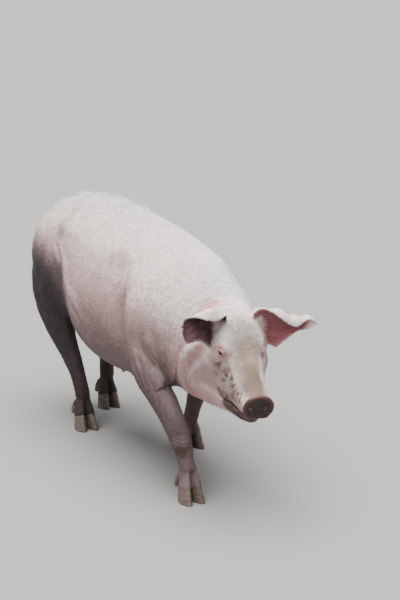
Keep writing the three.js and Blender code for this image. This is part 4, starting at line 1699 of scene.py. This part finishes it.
class Tufts:
    """The points and faces of many tufts, with their colours and places on the unwrap."""

    STRAIGHT = np.array([(0, 2, 1), (0, 1, 3), (1, 2, 3), (2, 0, 3)])
    BENT = np.array([(0, 2, 1), (0, 1, 4), (0, 4, 3), (1, 2, 5), (1, 5, 4), (2, 0, 3), (2, 3, 5),
                     (3, 4, 6), (4, 5, 6), (5, 3, 6)])
    PATCH = 0.0015  # half the width of a tuft's place on the unwrap
    FLAT = 0.7  # how thick a tuft is against its width

    def __init__(self) -> None:
        """Start with none."""
        self.points: list[Array] = []
        self.faces: list[Array] = []
        self.colours: list[Array] = []
        self.places: list[Array] = []
        self.total = 0

    def add(self, rings: list[tuple[Array, Array, float]], frame_of: tuple[Array, Array], colour: Array,
            place: Array) -> None:
        """Add tufts of one kind.

        Args:
            rings: middles, half widths and shade of each ring; the last is the tip.
            frame_of: the ways across and out of the skin at the roots.
            colour: each tuft's colour.
            place: each root's place on the unwrap.
        """
        across, out = frame_of
        corners, shades, patches = [], [], []
        turns = (0.5, 0.5 + 1 / 3, 0.5 + 2 / 3)
        for middle, half, shade in rings[:-1]:
            for index, turn in enumerate(turns):
                aside = across * math.sin(math.tau * turn)
                aside = aside + out * math.cos(math.tau * (turn - 0.5)) * self.FLAT
                corners.append(middle + aside * half[:, None])
                shades.append(shade)
                patches.append((self.PATCH * (index - 1), -self.PATCH if index == 1 else 0.0))
        corners.append(rings[-1][0])
        shades.append(rings[-1][2])
        patches.append((0.0, self.PATCH))
        shape = self.STRAIGHT if len(rings) == 2 else self.BENT
        each = len(corners)
        count = len(place)
        self.points.append(np.stack(corners, 1).reshape(-1, 3))
        first = self.total + np.arange(count) * each
        self.faces.append((shape[None] + first[:, None, None]).reshape(-1, 3))
        self.colours.append((colour[:, None, :] * np.array(shades)[None, :, None]).reshape(-1, 3))
        spots = place[:, None, :] + np.array(patches)[None]
        if each > 4:
            spots[:, 3:6, 1] += 0.5 * self.PATCH
        self.places.append(spots.reshape(-1, 2))
        self.total += count * each

    def mesh(self, name: str) -> Mesh:
        """All the tufts as one mesh.

        Args:
            name: the mesh's name.

        Returns:
            The mesh, with its colours and its map.
        """
        faces = np.concatenate(self.faces)
        mesh = mesh_of(name, np.concatenate(self.points), faces)
        note(mesh, "hair", np.clip(np.concatenate(self.colours), 0, 1))
        spots = np.clip(np.concatenate(self.places), 0, 1)[faces.ravel()]
        layer = mesh.uv_layers.new(name="OFBake", do_init=False)
        layer.uv.foreach_set("vector", spots.astype(np.float32).ravel())
        return smooth_shaded(mesh)


class Coat:
    """The bristles, as solid tufts that lie along the skin."""

    SEAM = math.radians(66)  # the unwrap is cut where the skin turns by more
    GAP = 0.004  # between the unwrap's islands
    SEED = 11
    SUNK = 0.35  # millimetres under the skin at which a tuft begins
    PIECES = {
        "coat_back": (
            Growth("cover", 34_000),
            Growth("crest", 5_000, 0.66, 1.4, lift=3, bend=6, stray=0.2, clump=0.3, pale=0.5),
            Growth("tufted", 900, 0.6, 1.9, lift=28, bend=10, stray=0.4, clump=0.6, pale=0.7),
        ),
        "coat_right": FLANK_HAIR,
        "coat_left": FLANK_HAIR,
        "coat_belly": (Growth("cover", 16_000, lift=2, stray=0.25),),
        "coat_neck": (
            Growth("cover", 44_000),
            Growth("crest", 1_800, 0.7, 1.7, lift=12, bend=10, stray=0.35, clump=0.5, pale=0.7),
        ),
        "coat_head": (
            Growth("cover", 38_000, 0.5, stray=0.2),
            Growth("forehead", 2_200, 0.5, 1.5, 2, 10, 8, stray=0.5, clump=0.6, pale=0.3),
            Growth("lash", 120, 0.45, 0.0, 9, 34, -20, stray=0.25, clump=0, pale=0.4, outwards=3),
            Growth("chin", 200, 0.5, 1.0, 14, 20, 10, stray=0.4, clump=0.2),
            Growth("cheek", 1_000, 0.6, 1.2, 2, 8, 8, stray=0.35, clump=0.5),
        ),
        "coat_ears": (
            Growth("cover", 31_000, 0.42, stray=0.14),
            Growth("rim", 2_200, 0.42, 1.2, lift=7, bend=10, stray=0.3, pale=0.5),
            Growth("inner", 200, 0.5, 2.6, lift=14, bend=14, stray=0.3, pale=0.3),
        ),
        "coat_legs_front": LEG_HAIR,
        "coat_legs_hind": LEG_HAIR,
        "coat_tail": (
            Growth("tail", 3_200, 0.6, 0.8, lift=2),
            Growth("tip", 420, 0.7, 1.2, 14, 8, 8, stray=0.4, clump=0.3),
        ),
    }

    def __init__(self, hide: Hide) -> None:
        """Share the skin's faces out among the pieces.

        Args:
            hide: what grows where.
        """
        self.hide = hide
        self.faces = read_rows(hide.surface.mesh.polygons, "vertices", 3, np.int32)
        self.random = np.random.default_rng(self.SEED)
        self.owner = self.shared_out()
        self.total = 0

    def shared_out(self) -> Array:
        """The name of the coat's piece on each face of the skin.

        Returns:
            A name for each face.
        """
        hide = self.hide
        middle = hide.points[self.faces].mean(1)
        normal = hide.normals[self.faces].mean(1)
        part = {region: share[self.faces].mean(1) for region, share in hide.region.items()}
        names = np.where(middle[:, 1] > MIDDLE, "coat_left", "coat_right").astype("U16")
        names[(normal[:, 2] > 0.72) & (middle[:, 2] > 0.5)] = "coat_back"
        names[(normal[:, 2] < -0.55) & (middle[:, 2] < 0.42)] = "coat_belly"
        names[(middle[:, 0] > 0.27) & (middle[:, 2] > 0.24)] = "coat_neck"
        leg = (part[Region.LEG] > 0.5) & (middle[:, 2] < 0.42) | (middle[:, 2] < 0.2)
        names[leg & (middle[:, 0] > -0.15)] = "coat_legs_front"
        names[leg & (middle[:, 0] <= -0.15)] = "coat_legs_hind"
        names[part[Region.HEAD] > 0.5] = "coat_head"
        names[part[Region.EAR] > 0.25] = "coat_ears"
        names[part[Region.TAIL] > 0.4] = "coat_tail"
        return names

    def unwrapped(self, faces: Array) -> Array:
        """Places of a piece's faces on an unwrap of their own shape.

        Args:
            faces: the skin's faces under the piece, as rows of points' numbers.

        Returns:
            A place for each corner of each face.
        """
        used, local = np.unique(faces, return_inverse=True)
        patch = add_object("patch", mesh_of("patch", self.hide.points[used], local.reshape(-1, 3)))
        patch.data.uv_layers.new(name="unwrap")
        bpy.ops.object.select_all(action="DESELECT")
        patch.select_set(True)
        bpy.context.view_layer.objects.active = patch
        bpy.ops.object.mode_set(mode="EDIT")
        bpy.ops.mesh.select_all(action="SELECT")
        bpy.ops.uv.smart_project(angle_limit=self.SEAM, island_margin=self.GAP)
        bpy.ops.object.mode_set(mode="OBJECT")
        mesh = patch.data
        places = read_rows(mesh.uv_layers["unwrap"].uv, "vector", 2)
        bpy.data.objects.remove(patch)
        bpy.data.meshes.remove(mesh)
        return places.reshape(-1, 3, 2)

    def build(self) -> None:
        """Grow every piece."""
        finish = hair_finish()
        for name, growths in self.PIECES.items():
            faces = self.faces[self.owner == name]
            maps = self.unwrapped(faces)
            tufts = Tufts()
            for growth in growths:
                self.grow(tufts, growth, faces, maps)
            grown = add_object(name, tufts.mesh(name))
            grown.data.materials.append(finish)
            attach(grown, "root")
            self.total += len(grown.data.polygons)
            log.info("%s: %d triangles", name, len(grown.data.polygons))
        log.info("coat: %d triangles", self.total)

    def grow(self, tufts: Tufts, growth: Growth, faces: Array, maps: Array) -> None:
        """Add one kind of hair to a piece.

        Args:
            tufts: the piece's tufts.
            growth: the kind.
            faces: the faces under the piece.
            maps: the places of their corners on the unwrap.
        """
        hide, random = self.hide, self.random
        corners = hide.points[faces]
        areas = np.linalg.norm(np.cross(corners[:, 1] - corners[:, 0], corners[:, 2] - corners[:, 0]), axis=1)
        weights = areas * hide.thick[growth.where][faces].mean(1)
        if weights.sum() <= 0:
            log.warning("no place for %s", growth.where)
            return
        count = growth.count
        picked = random.choice(len(faces), count, p=weights / weights.sum())
        shares = random.dirichlet((1, 1, 1), count)
        at = faces[picked]

        def here(values: Array) -> Array:
            """Values of the hide at the roots."""
            return np.einsum("nk,nk...->n...", shares, values[at])

        root, out = here(hide.points), unit(here(hide.normals))
        way = here(hide.way)
        way += growth.clump * self.leaning(root)
        if growth.outwards:
            eyes = np.array([Lids(side).centre for side in SIDES])
            nearest = np.argmin(np.linalg.norm(root[:, None] - eyes, axis=2), axis=1)
            way += growth.outwards * unit(root - eyes[nearest])
        way += growth.stray * random.normal(size=way.shape)
        way = unit(way - out * np.sum(way * out, axis=1)[:, None])
        across = np.cross(out, way)
        long = (here(hide.length) * growth.length + growth.spare * MM) * random.uniform(0.7, 1.2, count)
        lift = np.radians(here(hide.lift) + growth.lift + random.normal(0, 2, count))
        # Painted shade of fine dimples in the skin, drawn into each tuft's colour over its random tone.
        painted_dimple_shade = 0.05 * NOISE(root * [1, 1, 0.6], 9 * MM) + 0.2 * NOISE(root * [1, 1, 0.8], 4.5 * MM)
        shade = random.normal(1, 0.05, count) * (1 + painted_dimple_shade)
        colour = here(hide.hair) * np.clip(shade, 0.55, 1.35)[:, None]
        colour += growth.pale * (np.array(Tint.WHITE.value) - colour)
        half = growth.width * MM / 2 * random.uniform(0.75, 1.2, count)
        place = np.einsum("nk,nkd->nd", shares, maps[picked])
        start = root - out * self.SUNK * MM
        # Painted shade and light along each tuft: its root is drawn darker and its tip lighter.
        if growth.bend is None:
            rise = way * np.cos(lift)[:, None] + out * np.sin(lift)[:, None]
            rings = [(start, half, 0.86), (root + rise * long[:, None], half, 1.06)]
        else:
            bend = math.radians(growth.bend)
            first = way * np.cos(lift + bend)[:, None] + out * np.sin(lift + bend)[:, None]
            second = way * np.cos(lift - bend)[:, None] + out * np.sin(lift - bend)[:, None]
            middle = start + first * 0.5 * long[:, None]
            tip = middle + second * 0.5 * long[:, None]
            rings = [(start, half, 0.86), (middle, 0.75 * half, 0.98), (tip, half, 1.06)]
        tufts.add(rings, (across, out), colour, place)

    @staticmethod
    def leaning(points: Array, size: float = 11 * MM) -> Array:
        """Ways in which tufts lean so that neighbours run together in locks.

        Args:
            points: the tufts' roots.
            size: how wide a lock is.

        Returns:
            The ways.
        """
        gap = 0.15 * size
        slopes = [NOISE(points + move, size) - NOISE(points - move, size) for move in np.eye(3) * gap]
        return np.stack(slopes, 1) / (2 * gap) * size * 0.35


# -------- finishes


class Shade:
    """A shader socket that takes part in sums."""

    def __init__(self, finish: "Finish", socket: NodeSocket) -> None:
        """Wrap a socket of a finish's node tree."""
        self.finish = finish
        self.socket = socket

    def _math(self, operation: str, *values: object) -> "Shade":
        """Add a Math node."""
        return self.finish.node("ShaderNodeMath", {"operation": operation}, dict(enumerate(values)))

    def __add__(self, other: object) -> "Shade":
        """Sum."""
        return self._math("ADD", self, other)

    __radd__ = __add__

    def __sub__(self, other: object) -> "Shade":
        """Difference."""
        return self._math("SUBTRACT", self, other)

    def __rsub__(self, other: object) -> "Shade":
        """Difference, from the other side."""
        return self._math("SUBTRACT", other, self)

    def __mul__(self, other: object) -> "Shade":
        """Product."""
        return self._math("MULTIPLY", self, other)

    __rmul__ = __mul__

    def __pow__(self, other: object) -> "Shade":
        """Power."""
        return self._math("POWER", self, other)

    def clamp(self) -> "Shade":
        """Held between 0 and 1."""
        return self.finish.node("ShaderNodeClamp", {}, {"Value": self})

    def between(self, low: float, high: float) -> "Shade":
        """A smooth rise from 0 at low to 1 at high."""
        values = {"Value": self, "From Min": low, "From Max": high}
        return self.finish.node("ShaderNodeMapRange", {"interpolation_type": "SMOOTHSTEP"}, values)


class Finish:
    """A material in the making."""

    def __init__(self, name: str) -> None:
        """Start an empty material.

        Args:
            name: the material's name.
        """
        self.material = bpy.data.materials.new(name)
        self.material.use_nodes = True
        self.tree = self.material.node_tree
        self.tree.nodes.clear()

    def node(self, kind: str, settings: dict[str, object], inlets: dict[object, object],
             outlet: object = 0) -> Shade:
        """Add a node.

        Args:
            kind: the node's type.
            settings: its settings, set before the values.
            inlets: values or sockets by the input's name or number.
            outlet: name or number of the output that is wanted.

        Returns:
            That output.
        """
        node = self.tree.nodes.new(kind)
        for name, value in settings.items():
            setattr(node, name, value)
        for name, value in inlets.items():
            if isinstance(value, Shade):
                self.tree.links.new(value.socket, node.inputs[name])
            else:
                node.inputs[name].default_value = value
        return Shade(self, node.outputs[outlet])

    def mix(self, share: object, first: object, second: object) -> Shade:
        """Two colours or sockets mixed by a share of the second."""
        inlets = {0: share, 6: opaque(first), 7: opaque(second)}
        return self.node("ShaderNodeMix", {"data_type": "RGBA"}, inlets, 2)

    def place(self, scale: Triple = (1, 1, 1)) -> Shade:
        """Object coordinates, drawn out by a scale."""
        coordinates = self.node("ShaderNodeTexCoord", {}, {}, "Object")
        return self.node("ShaderNodeMapping", {}, {"Vector": coordinates, "Scale": scale})

    def noise(self, where: Shade, scale: float, detail: float = 2, rough: float = 0.5,
              warp: float = 0) -> Shade:
        """Noise from 0 to 1 at a scale of bumps to the metre."""
        inlets = {"Vector": where, "Scale": scale, "Detail": detail, "Roughness": rough, "Distortion": warp}
        return self.node("ShaderNodeTexNoise", {}, inlets, "Fac")

    def cells(self, where: Shade, scale: float) -> Shade:
        """Distance from the edges of small cells, at a scale of cells to the metre."""
        inlets = {"Vector": where, "Scale": scale}
        return self.node("ShaderNodeTexVoronoi", {"feature": "DISTANCE_TO_EDGE"}, inlets, "Distance")

    def read(self, name: str, outlet: str = "Color") -> Shade:
        """What is kept under a name at the mesh's points."""
        return self.node("ShaderNodeAttribute", {"attribute_name": name}, {}, outlet)

    def bump(self, height: Shade, deep: float) -> Shade:
        """A normal bumped by a height, by up to a depth in metres."""
        return self.node("ShaderNodeBump", {}, {"Height": height, "Distance": deep, "Strength": 1.0})

    def done(self, settings: dict[str, object]) -> Material:
        """Finish with a Principled shader.

        Args:
            settings: values or sockets by the shader's input names.

        Returns:
            The finished material.
        """
        shader = self.node("ShaderNodeBsdfPrincipled", {}, settings)
        output = self.tree.nodes.new("ShaderNodeOutputMaterial")
        self.tree.links.new(shader.socket, output.inputs["Surface"])
        return self.material


def opaque(colour: object) -> object:
    """A colour of three numbers with an alpha of 1; a socket as it is."""
    return colour if isinstance(colour, Shade) else (*colour, 1)


def skin_finish(rough: float = 0.62, damp: float = 0.22) -> Material:
    """Pink skin with fine creases, the lie of the shortest hair and damp places.

    Args:
        rough: roughness of dry skin.
        damp: roughness of wet skin.

    Returns:
        The material.
    """
    finish = Finish("skin")
    hide = finish.read("hide")
    wet = finish.read("wet", "Fac")
    leg = finish.read("leg", "Fac")
    flow = finish.noise(finish.place((90, 420, 300)), 1.0, 3, 0.6, 0.4)
    downward = finish.noise(finish.place((420, 420, 110)), 1.0, 3, 0.6, 0.4)
    hair = flow * (1 - leg) + downward * leg
    pores = finish.noise(finish.place(), 900, 2, 0.6)
    creases = finish.cells(finish.place(), 260)
    mottled = finish.noise(finish.place(), 55, 4, 0.65)
    redder = finish.mix((mottled - 0.5) * 0.9, hide, finish.mix(0.35, hide, (0.42, 0.13, 0.12)))
    shown = finish.mix((0.62 - hair).clamp() * 1.6, redder, finish.mix(0.5, redder, finish.read("hair")))
    return finish.done({
        "Base Color": finish.mix(pores.between(0.62, 0.78) * 0.22, shown, (0.10, 0.05, 0.045)),
        "Roughness": (rough + (mottled - 0.5) * 0.2) * (1 - wet) + wet * damp,
        "Normal": finish.bump(hair * 0.5 + creases * 0.35 + pores * 0.25, 0.9 * MM),
        "Specular IOR Level": 0.28,
    })


def hair_finish() -> Material:
    """Pale bristles with a soft gloss.

    Returns:
        The material.
    """
    finish = Finish("bristle")
    hair = finish.read("hair")
    grain = finish.noise(finish.place(), 120, 2)
    colour = finish.mix(grain.between(0.35, 0.7) * 0.15, hair, finish.mix(0.4, hair, (0.38, 0.27, 0.20)))
    return finish.done({"Base Color": colour, "Roughness": 0.5 + grain * 0.15, "Specular IOR Level": 0.35})


def horn_finish() -> Material:
    """Worn horn: rings of growth, fine streaks down it and dried mud.

    Returns:
        The material.
    """
    finish = Finish("horn")
    streaks = finish.noise(finish.place((700, 700, 45)), 1.0, 3, 0.6)
    rings = finish.noise(finish.place((40, 40, 420)), 1.0, 2, 0.5, 0.3)
    wall = finish.mix(streaks.between(0.3, 0.7), (0.115, 0.084, 0.068), (0.16, 0.118, 0.095))
    ringed = finish.mix(rings.between(0.45, 0.7) * 0.45, wall, (0.07, 0.048, 0.036))
    mud = finish.noise(finish.place(), 70, 4, 0.6).between(0.46, 0.62)
    return finish.done({
        "Base Color": finish.mix(mud * 0.85, ringed, (0.085, 0.062, 0.048)),
        "Roughness": 0.5 + mud * 0.35,
        "Normal": finish.bump(streaks * 0.3 + rings * 0.5 + mud * 0.5, 0.45 * MM),
    })


def eye_finish(iris: float = 8.6, pupil: tuple[float, float] = (4.6, 2.9)) -> Material:
    """A wet brown eye with an oval pupil that lies level.

    Args:
        iris: the iris's radius in millimetres.
        pupil: half the pupil's width and height in millimetres.

    Returns:
        The material.
    """
    finish = Finish("eye")
    across, up = (finish.read(name, "Fac") for name in ("across", "up"))
    away = (across * across + up * up) ** 0.5
    wide, high = (1 / each for each in pupil)
    oval = (across * wide * across * wide + up * high * up * high) ** 0.5
    streaks = finish.noise(finish.place(), 900, 3, 0.7)
    brown = finish.mix(streaks.between(0.3, 0.7), (0.014, 0.007, 0.004), (0.040, 0.019, 0.010))
    rimmed = finish.mix(away.between(iris - 2.2, iris - 0.3), brown, (0.010, 0.006, 0.005))
    veins = finish.noise(finish.place(), 260, 4, 0.7, 0.6)
    white = finish.mix(veins.between(0.45, 0.65), (0.52, 0.40, 0.34), (0.34, 0.13, 0.10))
    ball = finish.mix(away.between(iris - 0.3, iris + 0.5), rimmed, white)
    return finish.done({
        "Base Color": finish.mix(oval.between(1.12, 0.92), ball, (0.002, 0.002, 0.002)),
        "Roughness": 0.12,
        "Specular IOR Level": 0.3,
        "Coat Weight": 0.3,
        "Coat Roughness": 0.03,
    })


# -------- eyes and claws


@dataclass(frozen=True)
class Eyes:
    """The two eyeballs, each with the bulge of its cornea."""

    radius: float = 12 * MM
    bulge: float = 0.9 * MM
    cornea: float = 7.5 * MM

    def build(self) -> None:
        """Make both."""
        finish = eye_finish()
        for side in SIDES:
            lids = Lids(side)
            work = bmesh.new()
            bmesh.ops.create_uvsphere(work, u_segments=48, v_segments=32, radius=self.radius)
            for vertex in work.verts:
                away = math.hypot(vertex.co.x, vertex.co.y) / self.cornea
                if vertex.co.z > 0:
                    vertex.co.z += self.bulge * math.exp(-(away**4))
            local = np.array([vertex.co for vertex in work.verts])
            mesh = smooth_shaded(from_bmesh(work, f"eyeball_{side}"))
            axes = lids.axes
            turned = local[:, :1] * axes[0] + local[:, 1:2] * axes[1] + local[:, 2:] * axes[2]
            surface = Surface(mesh)
            surface.points = lids.centre + turned
            surface.write()
            if np.linalg.det(axes) < 0:
                mesh.flip_normals()
            note(mesh, "across", local[:, 0] / MM)
            note(mesh, "up", local[:, 1] / MM)
            mesh.materials.append(finish)
            ball = add_object(f"eyeball_{side}", mesh)
            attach(ball, "root")
            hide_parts(f"eye_{side}")
            log.info("%s: %d faces", ball.name, len(mesh.polygons))


@dataclass(frozen=True)
class Claws:
    """The horn of every claw and dewclaw, rounded and set into the skin."""

    voxel: float = 1.6 * MM
    dew_voxel: float = 1.3 * MM
    root: float = 5 * MM  # how far the horn runs up inside the skin
    neck: float = 0.86  # how wide it still is there
    sole: float = 0.9 * MM  # what lies lower is flat on the floor
    ring: float = 2.1 * MM  # height in which the rings of growth turn by one radian
    ring_high: float = 0.22  # millimetres

    def build(self) -> None:
        """Make them all."""
        finish = horn_finish()
        for name in [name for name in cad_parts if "claw" in name]:
            mesh = self.rounded(name)
            mesh.materials.append(finish)
            horn = add_object(name.replace("claw", "horn"), mesh)
            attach(horn, "root")
            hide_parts(name)
        log.info("claws: %d", len([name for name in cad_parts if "claw" in name]))

    def rounded(self, name: str) -> Mesh:
        """One claw with its facets smoothed away.

        Args:
            name: the frame's node.

        Returns:
            The claw's mesh.
        """
        work = bmesh.new()
        work.from_mesh(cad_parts[name].data)
        bmesh.ops.remove_doubles(work, verts=work.verts, dist=WELD)
        work.normal_update()
        low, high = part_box(name)
        middle = (low[2] + high[2]) / 2
        tops = [face for face in work.faces if face.normal.z > 0.6 and face.calc_center_median().z > middle]
        grown = bmesh.ops.extrude_face_region(work, geom=tops)["geom"]
        verts = [item for item in grown if isinstance(item, bmesh.types.BMVert)]
        bmesh.ops.delete(work, geom=tops, context="FACES")
        centre = sum((vertex.co for vertex in verts), Vector()) / max(1, len(verts))
        for vertex in verts:
            vertex.co = centre + (vertex.co - centre) * self.neck + Vector((0, 0, self.root))
        mesh = from_bmesh(work, name)
        voxel = (self.dew_voxel if name.startswith("dew") else self.voxel) * 1
        mesh = modified(mesh, "REMESH", mode="VOXEL", voxel_size=voxel, adaptivity=0)
        surface = Surface(mesh)
        surface.points = surface.smoothed(5)
        points = surface.points
        rings = np.sin(points[:, 2] / self.ring + 0.8 * NOISE(points, 20 * MM)) * self.ring_high * MM
        side = step(np.abs(surface.normals[:, 2]), 0.8, 0.4)
        points += (rings * side)[:, None] * surface.normals
        if low[2] < 1 * MM:
            points[:, 2] = np.where(points[:, 2] < self.sole, 0, points[:, 2])
        surface.write()
        return smooth_shaded(mesh)


# -------- stage


@dataclass(frozen=True)
class Stage:
    """The floor, the light and the camera."""

    camera_at: Triple = (3.6572, -1.8433, 1.4069)
    camera_yaw: float = 28.904  # degrees off -X, towards +Y
    camera_dip: float = 13.007
    focal: float = 1448.85 / 600  # against the render's longer side
    sensor: float = 36.0

    def camera(self) -> None:
        """Set the camera up."""
        data = bpy.data.cameras.new("camera")
        data.sensor_width = self.sensor
        data.lens = self.focal * self.sensor
        data.clip_end = 400
        yaw, dip = math.radians(self.camera_yaw), math.radians(self.camera_dip)
        way = Vector((-math.cos(yaw) * math.cos(dip), math.sin(yaw) * math.cos(dip), -math.sin(dip)))
        made = add_aimed("camera", data, way)
        made.location = self.camera_at
        bpy.context.scene.camera = made

    @staticmethod
    def floor() -> None:
        """Lay a wide pale floor."""
        work = bmesh.new()
        bmesh.ops.create_circle(work, cap_ends=True, segments=64, radius=150)
        floor = add_object("floor", from_bmesh(work, "floor"))
        finish = Finish("floor")
        grain = finish.noise(finish.place(), 3.0, 3)
        colour = finish.mix(grain, (0.25, 0.247, 0.242), (0.27, 0.267, 0.262))
        floor.data.materials.append(finish.done({"Base Color": colour, "Roughness": 0.95}))

    @staticmethod
    def sun(name: str, at: Triple, spread: float, power: float, tint: Triple) -> None:
        """Light the stage evenly from one side, softly.

        Args:
            name: the light's name.
            at: the side it comes from.
            spread: the angle that it seems to fill, in degrees.
            power: its strength.
            tint: its colour.
        """
        data = bpy.data.lights.new(name, "SUN")
        data.angle, data.energy, data.color = math.radians(spread), power, tint
        add_aimed(name, data, -Vector(at))

    def light(self) -> None:
        """Light the pig from above, with a little from the camera's side."""
        world = bpy.data.worlds.new("air")
        bpy.context.scene.world = world
        world.use_nodes = True
        air = world.node_tree.nodes["Background"]
        air.inputs["Color"].default_value = (0.96, 0.98, 1.0, 1)
        air.inputs["Strength"].default_value = 0.5
        self.sun("overhead", (0.1, -0.1, 1.0), 60, 9.5, (1.0, 0.995, 0.985))
        self.sun("fill", (0.7, -0.8, 0.55), 50, 0.2, (1.0, 0.97, 0.98))


# -------- the pig


def main() -> None:
    """Build the pig and its stage."""
    stage = Stage()
    stage.camera()
    stage.light()
    stage.floor()
    skin_maker = Skin()
    surface = skin_maker.build()
    hide = Hide(surface, skin_maker.regions)
    kept = {"hide": hide.skin, "hair": hide.hair, "wet": hide.wet, "leg": hide.region[Region.LEG]}
    for name, values in kept.items():
        note(surface.mesh, name, values)
    Coat(hide).build()
    skin = add_object("skin", smooth_shaded(surface.mesh))
    skin.data.materials.append(skin_finish())
    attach(skin, "root")
    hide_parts(*skin_maker.flesh)
    Eyes().build()
    Claws().build()


if __name__ == "__main__":
    main()
